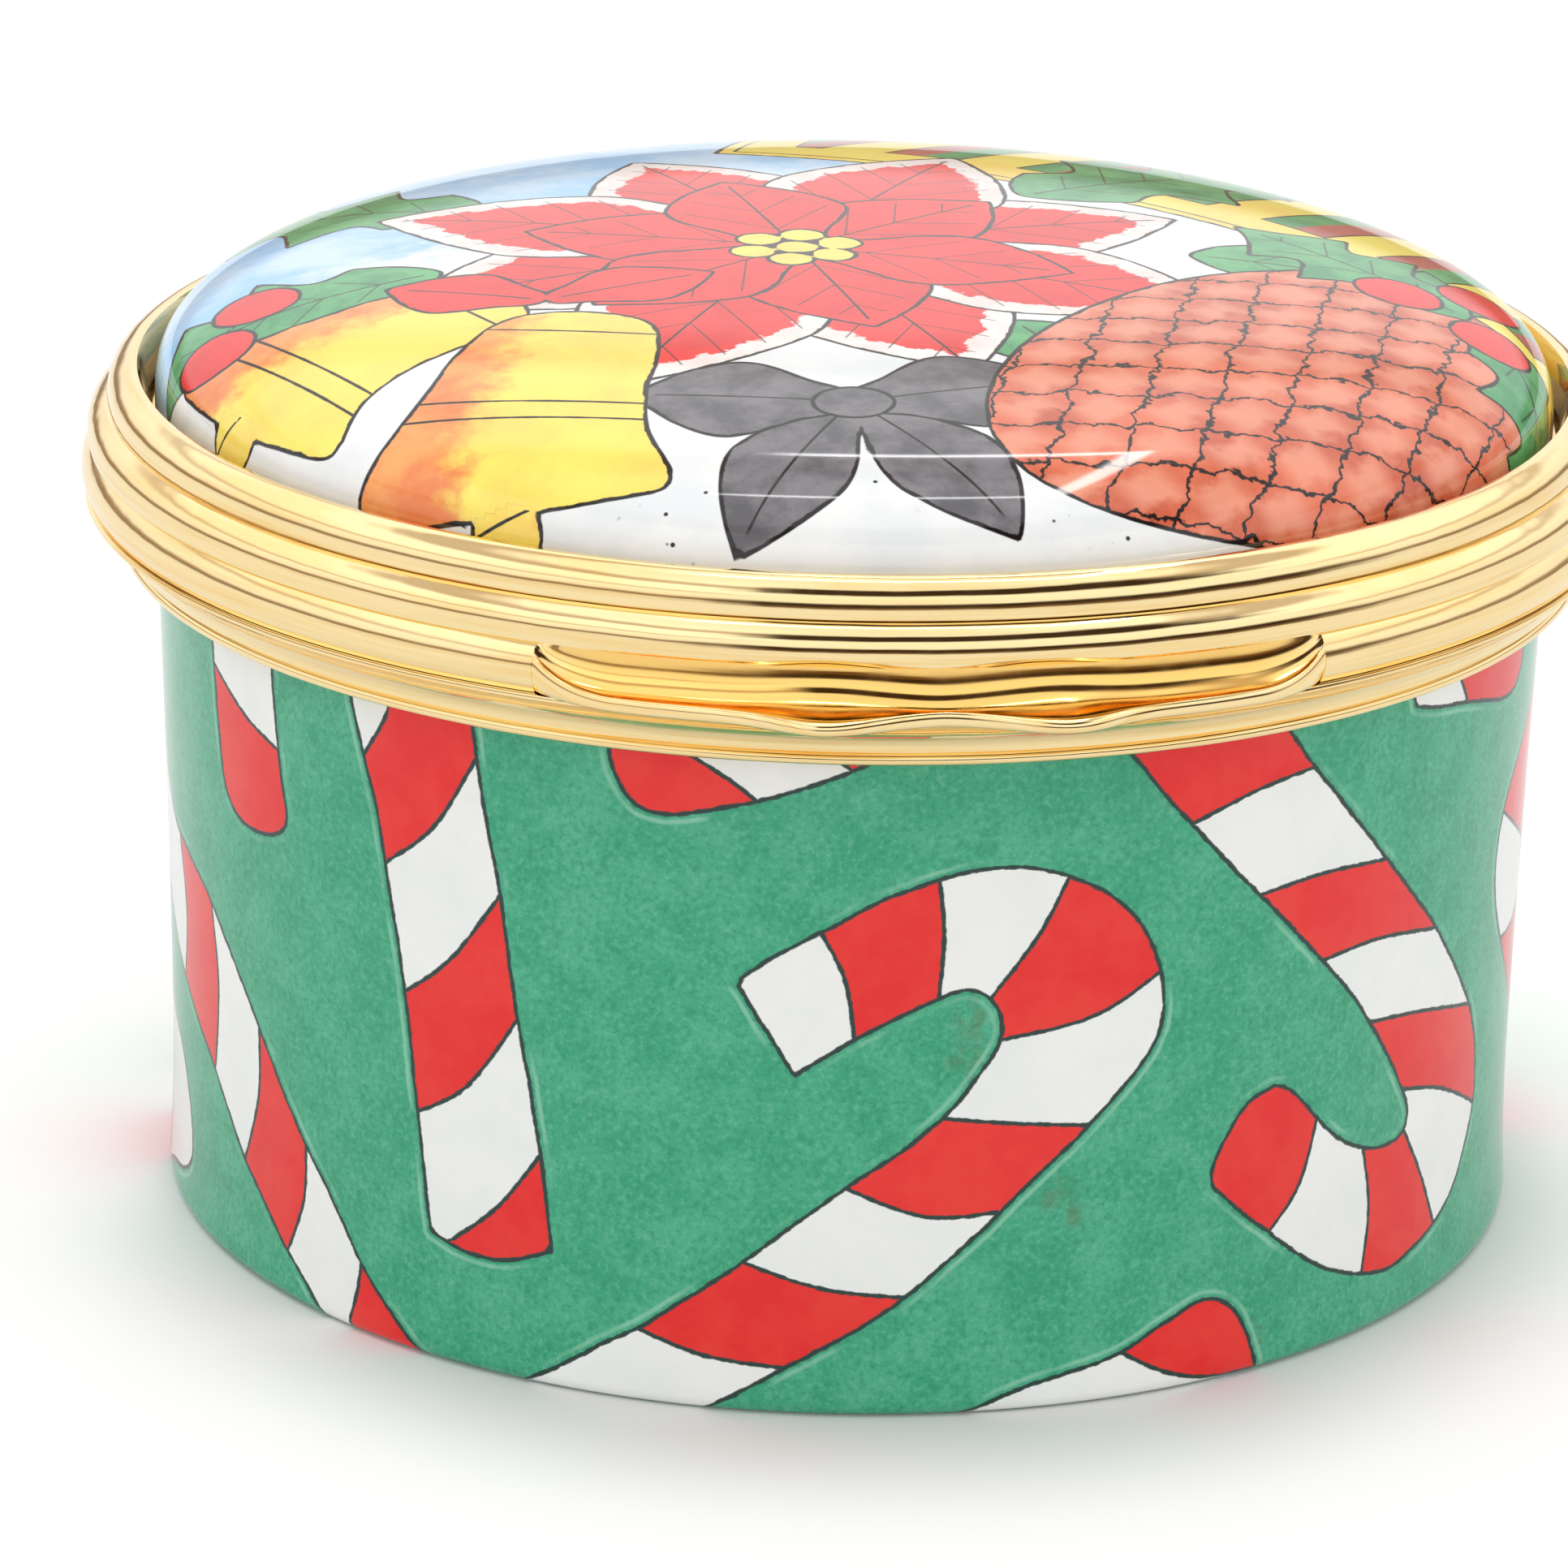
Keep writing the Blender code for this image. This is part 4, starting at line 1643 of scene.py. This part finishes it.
    def finish(self) -> bpy.types.Material:
        """Keep the picture to the outside, with plain white enamel under the lid."""
        outside = self.shader.ramp(self.shader.drawn("outside")[0], 0.45, 0.55)
        colour = self.shader.mix(outside, ENAMEL_WHITE, self.colour)
        return self.shader.finish(colour, 0.05, IOR=ENAMEL_IOR)


@dataclass
class EnamelLid:
    """The domed lid with a drawn picture of a winter flower, leaves, bells and a fir cone."""

    radius: float = 19.9
    bottom: float = 22.9
    edge: float = 0.3
    rise: float = 4.55
    wall: float = 1.2
    flatness: float = 2.6
    steepness: float = 3.1
    segments: int = 448
    rings: int = 124
    rim_round: float = 0.06
    curve_samples: int = 2000
    unrolled_rings: int = 400
    inner_rings: int = 16
    flower: Point = (-1.8, -0.6)
    ink: InkLine = InkLine(0.065, 0.024, 0.05)
    uv_rim: float = 0.12
    uv_slack: float = 0.1
    uv_disc_size: float = 0.485
    uv_corner: float = 0.066
    uv_corner_size: float = 0.062

    def curve(self, radius: float, foot: float, rise: float, steps: int) -> Outline:
        """List the dome's curve from its edge to its apex, in even steps of its length.

        Args:
            radius: Radius at the edge.
            foot: Height of the edge.
            rise: Height of the apex over the edge.
            steps: Pieces of the curve.

        Returns:
            The curve's points.
        """
        angles = np.linspace(0, math.pi / 2, self.curve_samples)
        across = radius * np.abs(np.cos(angles)) ** (2 / self.flatness)
        up = foot + rise * np.sin(angles) ** (2 / self.steepness)
        across[-1] = 0
        length = np.concatenate([[0], np.cumsum(np.hypot(np.diff(across), np.diff(up)))])
        even = np.linspace(0, length[-1], steps + 1)
        return list(
            zip(np.interp(even, length, across).tolist(), np.interp(even, length, up).tolist())
        )

    def outline(self) -> Outline:
        """List the section from the apex down the outer curve and up the inner one.

        Returns:
            The section's points.
        """
        points = list(
            reversed(self.curve(self.radius, self.bottom + self.edge, self.rise, self.rings))
        )
        points.append((self.radius, self.bottom + self.rim_round))
        points.append((self.radius - self.rim_round, self.bottom))
        inner_rise = self.edge + self.rise - self.wall
        points += self.curve(self.radius - self.wall, self.bottom, inner_rise, self.inner_rings)
        return points

    def picture(self) -> dict[str, list[Motif]]:
        """List the picture's layers from the lowest to the highest.

        Returns:
            The motifs of each layer by its name.
        """
        flower = self.flower
        outer = [(18 + 45 * turn, 13.0 if turn % 2 else 12.0) for turn in range(8)]
        inner = [(40 + 60 * turn, 8.0) for turn in range(6)]
        angles = (0.3, 1.35, 2.4, 3.45, 4.5, 5.55)
        around = [(flower[0] + 1.3 * math.cos(a), flower[1] + 1.3 * math.sin(a)) for a in angles]
        bow = (-1.6, -14.0)
        return {
            "ribbon": [
                Motif(
                    [
                        (20.4, -9.0), (16.6, -3.6), (12.4, 1.2), (7.6, 5.6), (2.6, 9.2),
                        (-3.0, 12.0), (-3.0, 12.0), (-0.4, 19.6), (-0.4, 19.6), (7.4, 18.2),
                        (14.0, 14.8), (19.4, 9.2), (23.0, 2.0), (25.0, -6.0), (25.0, -6.0)
                    ],
                    (23.0, -7.5), (-1.2, 16.4)
                )
            ],
            "low_leaves": [
                holly_leaf((5.5, 5.5), 38, 11.5, 7.4), holly_leaf((-10.5, 5.0), 150, 9.6, 7.0),
                holly_leaf((-12.0, -1.5), 194, 9.6, 6.6), holly_leaf((3.5, -8.0), 292, 8.6, 6.4),
                holly_leaf((9.5, -1.0), 352, 9.4, 6.4)
            ],
            "low_bracts": [bract(flower, heading, length, 6.8) for heading, length in outer[0::2]],
            "mid_bracts": [bract(flower, heading, length, 7.0) for heading, length in outer[1::2]],
            "high_bracts": [bract(flower, heading, length, 5.2) for heading, length in inner[0::2]],
            "top_bracts": [bract(flower, heading, length, 5.2) for heading, length in inner[1::2]],
            "beads": [
                ellipse(middle, 0.66, 0.66) for middle in around
            ] + [ellipse(flower, 0.64, 0.64)],
            "snow": [
                Motif(
                    [
                        (-24.0, -13.0), (-15.0, -17.0), (-9.5, -18.4), (-5.0, -17.0), (-1.0, -16.4),
                        (3.6, -17.6), (9.0, -18.6), (15.0, -17.2), (24.0, -13.0), (24.0, -13.0),
                        (16.0, -25.0), (-16.0, -25.0), (-24.0, -13.0)
                    ],
                    (0.0, -24.0), (0.0, -16.0)
                )
            ],
            "bow_tails": [bract(bow, 238, 7.2, 3.4), bract(bow, 303, 7.2, 3.4)],
            "bow_loops": [bract(bow, 168, 6.0, 4.6), bract(bow, 14, 6.0, 4.6)],
            "bow_knot": [ellipse(bow, 1.1, 0.95)],
            "low_bell": [ellipse((-18.6, -8.6), 1.1, 1.1), bell((-10.2, -4.4), 207, 8.6, 8.6)],
            "high_bell": [ellipse((-11.6, -17.4), 1.1, 1.1), bell((-8.2, -6.4), 252, 10.2, 9.2)],
            "bell_bow": [bract((-9.2, -5.0), 150, 5.0, 3.4), bract((-9.2, -5.0), 22, 5.2, 3.4)],
            "cone": [cone((18.6, -4.8), 219, 20.5, 14.0)],
            "high_leaves": [
                holly_leaf((17.6, -4.4), 292, 8.4, 5.6), holly_leaf((17.0, -3.6), 132, 8.6, 5.6)
            ],
            "berries": [
                ellipse((15.2, -2.6), 1.3, 1.3), ellipse((17.9, -1.4), 1.3, 1.3),
                ellipse((17.6, -5.0), 1.3, 1.3), ellipse((-17.2, -1.4), 1.3, 1.3),
                ellipse((-18.6, -4.0), 1.3, 1.3)
            ],
        }

    def unrolled(self, places: np.ndarray) -> np.ndarray:
        """Lay points of the dome flat, each at its own distance from the apex along the dome.

        Args:
            places: Points on the dome.

        Returns:
            The points in the picture's plane.
        """
        rim = self.bottom + self.edge
        profile = np.array(self.curve(self.radius, rim, self.rise, self.unrolled_rings))[::-1]
        length = np.concatenate([[0], np.cumsum(np.hypot(*np.diff(profile, axis=0).T))])
        reach = np.hypot(places[:, 0], places[:, 1])
        drawn = np.interp(reach, profile[:, 0], length)
        return places[:, :2] * (drawn / np.maximum(reach, NEAR_AXIS))[:, None]

    def draw(self, mesh: bpy.types.Mesh) -> None:
        """Store each layer on the mesh: distance to its edge, and place across and along its axis.

        Args:
            mesh: The lid's mesh.
        """
        places = vertex_places(mesh)
        normals = np.zeros(len(mesh.vertices) * 3)
        mesh.vertex_normals.foreach_get("vector", normals)
        top = np.flatnonzero(normals.reshape(-1, 3)[:, 2] > FACES_UP)
        plan = self.unrolled(places[top])
        for name, motifs in self.picture().items():
            values = np.zeros((len(places), 3))
            values[:, 0] = FAR
            edge = np.full(len(top), FAR)
            across = np.zeros(len(top))
            along = np.zeros(len(top))
            for shape in motifs:
                distance = signed_distance(plan, smooth_loop(shape.loop))
                nearer = np.flatnonzero(distance < edge)
                edge[nearer] = distance[nearer]
                start, end = np.array(shape.start), np.array(shape.end)
                axis = (end - start) / np.linalg.norm(end - start)
                reach = plan[nearer] - start
                across[nearer] = reach @ np.array([axis[1], -axis[0]])
                along[nearer] = reach @ axis
            values[top] = np.stack([edge, across, along], 1)
            store_field(mesh, name, values)
        shown = np.zeros((len(places), 3))
        shown[top, 0] = 1
        store_field(mesh, "outside", shown)

    def lay_out(self, bm: bmesh.types.BMesh) -> None:
        """Lay the mesh out for baking: the picture as a large disc, the underside in a corner.

        Args:
            bm: The lid in millimetres.
        """
        layer = bm.loops.layers.uv.new(BAKE_LAYER)
        profile = list(
            reversed(self.curve(self.radius, self.bottom + self.edge, self.rise, self.rings))
        )
        flat = np.array([r for r, _ in profile])
        length = np.concatenate(
            [[0], np.cumsum([math.dist(a, b) for a, b in zip(profile, profile[1:])])]
        )
        full = length[-1] + self.edge + self.uv_slack
        for face in bm.faces:
            centre = face.calc_center_median()
            near_rim = math.hypot(centre.x, centre.y) > self.radius - self.uv_rim
            over = face.normal.z > FACES_UP or near_rim
            for loop in face.loops:
                co = loop.vert.co
                reach = math.hypot(co.x, co.y)
                if over:
                    drawn = float(np.interp(reach, flat, length))
                    drawn += max(self.bottom + self.edge - co.z, 0)
                    scale = self.uv_disc_size / full * drawn / max(reach, NEAR_AXIS)
                    middle = 0.5
                else:
                    scale = self.uv_corner_size / self.radius
                    middle = self.uv_corner
                loop[layer].uv = (middle + co.x * scale, middle + co.y * scale)

    def material(self) -> bpy.types.Material:
        """Build the enamel with its picture.

        Returns:
            The material.
        """
        painter = LidPainter(Shader("lid_enamel"), self.ink)
        painter.ribbon()
        painter.leaves("low_leaves")
        painter.flower()
        painter.snow()
        painter.bow()
        painter.bells()
        painter.cone()
        painter.leaves("high_leaves")
        painter.layer("berries", painter.wash(LidPaint.RED))
        return painter.finish()

    def build(self) -> None:
        """Make the lid, draw its picture and place it."""
        bm = turned(self.outline(), False, -90, FULL_TURN, self.segments)
        bmesh.ops.recalc_face_normals(bm, faces=bm.faces)
        self.lay_out(bm)
        piece = mesh_piece("domed_lid", bm)
        self.draw(piece.data)
        place(piece, self.material(), Body.LID, Slot.LID_ENAMEL, "enamel_lid")


# The hinge


@dataclass
class Hinge:
    """Three knuckles with their leaves on a wire pin, at the back of the box."""

    height: float = 20.7
    centre_y: float = 22.95
    knuckle_radius: float = 0.8
    bore_radius: float = 0.44
    pin_radius: float = 0.4
    centre_length: float = 4.4
    side_length: float = 3.2
    gap: float = 0.12
    leaf_height: float = 0.65
    leaf_reach: float = 1.6
    head_radius: float = 0.62
    head_length: float = 0.3
    ease: float = 0.06
    segments: int = 64

    def tube(self, length: float) -> bmesh.types.BMesh:
        """Make a knuckle's barrel with a bore and eased ends, lying along X.

        Args:
            length: Its length.

        Returns:
            The barrel in millimetres, centred on the hinge's axis.
        """
        half, ease = length / 2, self.ease
        section = [(self.bore_radius, -half), (self.knuckle_radius - ease, -half)]
        section += [(self.knuckle_radius, -half + ease), (self.knuckle_radius, half - ease)]
        section += [(self.knuckle_radius - ease, half), (self.bore_radius, half)]
        return self.laid(turned(section, True, 0, FULL_TURN, self.segments), 0.0)

    def laid(self, bm: bmesh.types.BMesh, x: float) -> bmesh.types.BMesh:
        """Turn a shape from the Z axis to the hinge's axis and move it along.

        Args:
            bm: The shape.
            x: How far it moves along the axis.

        Returns:
            The same bmesh.
        """
        bmesh.ops.rotate(
            bm, cent=(0, 0, 0), matrix=Matrix.Rotation(math.pi / 2, 3, "Y"), verts=bm.verts
        )
        bmesh.ops.translate(bm, vec=(x, self.centre_y, self.height), verts=bm.verts)
        return bm

    def leaf(self, name: str, x: float, length: float, low: float) -> bpy.types.Object:
        """Make the flat leaf that joins a knuckle to its band.

        Args:
            name: Name of the guide solid.
            x: Middle of the leaf.
            length: Its length along the axis.
            low: Height of its underside.

        Returns:
            The leaf as an object.
        """
        inner = LEDGE_RADIUS - 0.55
        outer = self.centre_y - self.bore_radius - 0.12
        bm = bmesh.new()
        bmesh.ops.create_cube(bm, size=1)
        bmesh.ops.scale(bm, vec=(length, outer - inner, self.leaf_height), verts=bm.verts)
        middle = (x, (inner + outer) / 2, low + self.leaf_height / 2)
        bmesh.ops.translate(bm, vec=middle, verts=bm.verts)
        bmesh.ops.bevel(
            bm, geom=bm.edges[:], offset=0.05, segments=2, profile=0.5, affect="EDGES", material=-1
        )
        return mesh_piece(name, bm)

    def knuckle(
        self, name: str, node: str, body: Body, x: float, length: float, leaf_low: float
    ) -> None:
        """Make one knuckle with its leaf and place it.

        Args:
            name: Name of the piece.
            node: The CAD node that it replaces.
            body: The body that it rides on.
            x: Its middle along the axis.
            length: Its length.
            leaf_low: Height of the underside of its leaf.
        """
        bm = self.tube(length)
        bmesh.ops.translate(bm, vec=(x, 0, 0), verts=bm.verts)
        piece = mesh_piece(name, bm)
        combined(piece, self.leaf(name + "_leaf", x, length, leaf_low), "UNION")
        place(piece, GILT_HINGE.material(), body, Slot.GILT, node)

    def build(self) -> None:
        """Make the three knuckles and the pin."""
        side_x = self.centre_length / 2 + self.gap + self.side_length / 2
        base_low = PARTING_HEIGHT - SEAT_GAP / 2 - self.leaf_height
        self.knuckle(
            "left_knuckle", "hinge_knuckle_left", Body.BASE, -side_x, self.side_length, base_low
        )
        self.knuckle(
            "right_knuckle", "hinge_knuckle_right", Body.BASE, side_x, self.side_length, base_low
        )
        lid_low = LID_BOTTOM + SEAT_GAP / 2
        self.knuckle(
            "middle_knuckle", "hinge_knuckle_centre", Body.LID, 0, self.centre_length, lid_low
        )
        half = side_x + self.side_length / 2 + SEAT_GAP
        end = half + self.head_length
        section = [
            (0, -end), (self.head_radius * 0.55, -end), (self.head_radius * 0.85, -end + 0.05)
        ]
        section += [(self.head_radius, -end + self.head_length / 2), (self.head_radius, -half)]
        section += [(self.pin_radius, -half)]
        section += [(radius, -x) for radius, x in reversed(section)]
        pin = mesh_piece("wire_pin", self.laid(turned(section, False, 0, FULL_TURN, 48), 0.0))
        place(pin, BRASS_WIRE.material(), Body.BASE, Slot.WIRE, "hinge_pin")


# The stage: floor, light and camera


@dataclass
class Studio:
    """A pale floor, soft light from all round, and the camera at the photograph's angle."""

    floor_size: float = 6.0
    floor_colour: Colour = (0.8, 0.8, 0.8)
    azimuth: float = -6.0
    elevation: float = 18.95
    roll: float = 1.15
    distance: float = 0.22
    target_across: float = -0.001772
    target_height: float = 0.011416
    lens: float = 173.76
    world_strength: float = 1.1
    key_power: float = 0.5
    key_size: float = 0.5
    key_place: tuple[float, float, float] = (-0.03, 0.1, 0.5)
    front_bands: tuple[Point, ...] = (
        (-90, 0.9), (-14, 0.9), (-7, 0.5), (-3, 0.05), (8, 0.05), (13, 1.1), (40, 1.2), (46, 0.05),
        (64, 0.05), (69, 1.1), (90, 1.1)
    )
    side_bands: tuple[Point, ...] = (
        (-90, 0.95), (-12, 0.9), (-5, 0.7), (0, 0.35), (5, 0.4), (9, 1.05), (22, 1.2), (27, 0.75),
        (31, 1.3), (50, 1.4), (54, 0.7), (60, 0.7), (66, 1.3), (90, 1.1)
    )
    window: tuple[float, float, float, float] = (-34.0, -16.0, 58.0, 84.0)
    strip_level: float = 11.0
    strip_edges: tuple[float, float] = (0.01, 0.02)
    strip_right: tuple[float, float] = (0.13, 0.25)
    strip_left: tuple[float, float] = (0.3, -0.26)
    strip_near: float = 0.22
    strip_far: float = 0.81
    strip_lowest: float = 0.01
    far_floor: tuple[float, float] = (0.14, 0.3)
    far_floor_colour: Colour = (0.14, 0.08, 0.045)
    shiny_floor: Colour = (0.8, 0.8, 0.8)
    # Painted shadow on the floor round the box: its colour to the camera, the reach over which it
    # fades to white, and how far its centre sits in front of the box.
    painted_floor_shadow: Colour = (0.74, 0.745, 0.74)
    painted_shadow_reach: tuple[float, float] = (0.0165, 0.024)
    painted_shadow_shift: float = 0.003

    def facing(self, shader: Nodes, x: Source, y: Source) -> bpy.types.NodeSocket:
        """Find how far a direction lies in the studio's darker part, in front and to the right.

        Args:
            shader: The node tree being built.
            x: The direction's X.
            y: The direction's Y.

        Returns:
            1 inside it.
        """
        heading = shader.math("ARCTAN2", x, shader.product(y, -1.0))
        around = shader.math("DEGREES", heading)
        start, full, fade, end = self.window
        return shader.product(shader.ramp(around, start, full), shader.fall(around, fade, end))

    def floor(self) -> None:
        """Lay the floor, which keeps the box's shadow, darkens to the camera round the box's foot
        with a painted shadow, and is white to the camera elsewhere.
        """
        bm = bmesh.new()
        bmesh.ops.create_grid(bm, x_segments=1, y_segments=1, size=self.floor_size / 2)
        mesh = bpy.data.meshes.new("floor")
        bm.to_mesh(mesh)
        bm.free()
        floor = bpy.data.objects.new("floor", mesh)
        bpy.context.scene.collection.objects.link(floor)
        shader = Shader("floor")
        rays = shader.tree.nodes.new("ShaderNodeLightPath")
        seen = shader.most(rays.outputs["Is Camera Ray"], rays.outputs["Is Transmission Ray"])
        x, y, _ = shader.parts(shader.place())
        # Painted shadow: to the camera, the floor is darker close round the box's foot, centred a
        # little in front of it, and fades to white further out.
        reach = shader.span(x, shader.total(y, self.painted_shadow_shift))
        shown = shader.mix(shader.ramp(reach, *self.painted_shadow_reach), self.painted_floor_shadow, (1.0, 1.0, 1.0))
        dim = shader.product(shader.ramp(reach, *self.far_floor), self.facing(shader, x, y))
        mirrored = shader.mix(dim, self.shiny_floor, self.far_floor_colour)
        colour = shader.mix(seen, self.floor_colour, shown)
        colour = shader.mix(rays.outputs["Is Glossy Ray"], colour, mirrored)
        mesh.materials.append(shader.finish(colour, 0.9, Specular_IOR_Level=0.0))

    def world(self) -> None:
        """Light the scene evenly, with darker bands that only shiny surfaces see."""
        world = bpy.data.worlds.new("studio")
        world.use_nodes = True
        bpy.context.scene.world = world
        tree = world.node_tree
        shader = Nodes(tree)
        coordinates = tree.nodes.new("ShaderNodeTexCoord")
        x, y, z = shader.parts(coordinates.outputs["Generated"])
        height = shader.math("DEGREES", shader.math("ARCSINE", z))
        levels = [
            self.bands(shader, height, stops) for stops in (self.side_bands, self.front_bands)
        ]
        seen = shader.mix(self.facing(shader, x, y), *levels)
        seen = shader.vector("MULTIPLY", seen, Vector((2, 2, 2)))
        strip = self.strips(shader, x, y, z)
        seen = shader.vector("ADD", seen, shader.joined(strip, strip, strip))
        rays = tree.nodes.new("ShaderNodeLightPath")
        plain = (self.world_strength,) * 3
        colour = shader.mix(rays.outputs["Is Glossy Ray"], plain, seen)
        colour = shader.mix(rays.outputs["Is Camera Ray"], colour, (1.0, 1.0, 1.0))
        background = tree.nodes["Background"]
        shader.feed(background.inputs["Color"], colour)

    @staticmethod
    def bands(shader: Nodes, height: Source, stops: tuple[Point, ...]) -> bpy.types.NodeSocket:
        """Lay bands of grey over the heights of the sky, at half their level.

        Args:
            shader: The world being built.
            height: Height over the horizon in degrees.
            stops: Heights with their levels.

        Returns:
            The grey.
        """
        node = shader.tree.nodes.new("ShaderNodeValToRGB")
        elements = node.color_ramp.elements
        elements.remove(elements[1])
        for index, (degrees, level) in enumerate(stops):
            stop = elements[0] if index == 0 else elements.new((degrees + 90) / 180)
            warmth = 1 - min(level, 1)
            stop.color = (
                level / 2, level / 2 * (1 - 0.4 * warmth), level / 2 * (1 - 0.65 * warmth), 1
            )
        shader.feed(node.inputs[0], shader.math("DIVIDE", shader.total(height, 90.0), 180.0))
        return node.outputs[0]

    def strips(self, shader: Nodes, x: Source, y: Source, z: Source) -> bpy.types.NodeSocket:
        """Hang a bright frame overhead, which shows as thin lines on gilt and enamel.

        Args:
            shader: The world being built.
            x: The direction's X.
            y: The direction's Y.
            z: The direction's Z.

        Returns:
            The frame's light.
        """
        above = shader.most(z, self.strip_lowest)
        u = shader.math("DIVIDE", x, above)
        v = shader.math("DIVIDE", y, above)
        right = shader.math("SUBTRACT", u, shader.math("MULTIPLY_ADD", v, *self.strip_right))
        left = shader.math("SUBTRACT", shader.math("MULTIPLY_ADD", v, *self.strip_left), u)
        near = shader.math("SUBTRACT", self.strip_near, v)
        far = shader.math("SUBTRACT", v, self.strip_far)
        out = shader.most(shader.most(right, left), shader.most(near, far))
        line = shader.fall(shader.math("ABSOLUTE", out), *self.strip_edges)
        overhead = shader.product(shader.ramp(z, 0.1, 0.2), shader.fall(left, -0.08, -0.02))
        return shader.product(shader.product(line, overhead), self.strip_level)

    def key(self) -> None:
        """Add a large soft lamp overhead, which gives the floor its shadow."""
        lamp = bpy.data.lights.new("overhead", "AREA")
        lamp.shape = "SQUARE"
        lamp.size = self.key_size
        lamp.energy = self.key_power
        lamp.use_shadow = True
        holder = bpy.data.objects.new("overhead", lamp)
        holder.location = self.key_place
        towards = Vector((0, 0, 0.01)) - holder.location
        holder.rotation_euler = towards.to_track_quat("-Z", "Y").to_euler()
        holder.visible_glossy = False
        bpy.context.scene.collection.objects.link(holder)

    def camera(self) -> None:
        """Set the camera where the photograph's was."""
        azimuth, elevation = math.radians(self.azimuth), math.radians(self.elevation)
        target = Vector((math.cos(azimuth), math.sin(azimuth), 0)) * self.target_across
        target.z = self.target_height
        flat = math.cos(elevation)
        back = Vector((math.sin(azimuth) * flat, -math.cos(azimuth) * flat, math.sin(elevation)))
        camera = bpy.data.objects.new("camera", bpy.data.cameras.new("camera"))
        bpy.context.scene.collection.objects.link(camera)
        camera.location = target + back * self.distance
        turn = back.to_track_quat("Z", "Y").to_matrix() @ Matrix.Rotation(
            math.radians(self.roll), 3, "Z"
        )
        camera.rotation_euler = turn.to_euler()
        camera.data.lens = self.lens
        camera.data.clip_start = 0.005
        bpy.context.scene.camera = camera

    def build(self) -> None:
        """Make the floor, the light and the camera."""
        self.floor()
        self.world()
        self.key()
        self.camera()
        bpy.context.scene.view_settings.view_transform = "Standard"


def main() -> None:
    """Build the box's pieces and the studio in order."""
    logging.basicConfig(level=logging.INFO, format="%(relativeCreated)6d ms %(message)s")
    for part in (Cup(), BaseBand(), LidBand(), ThumbPiece(), EnamelLid(), Hinge(), Studio()):
        log.info("building %s", type(part).__name__)
        part.build()
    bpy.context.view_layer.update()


if __name__ == "__main__":
    main()
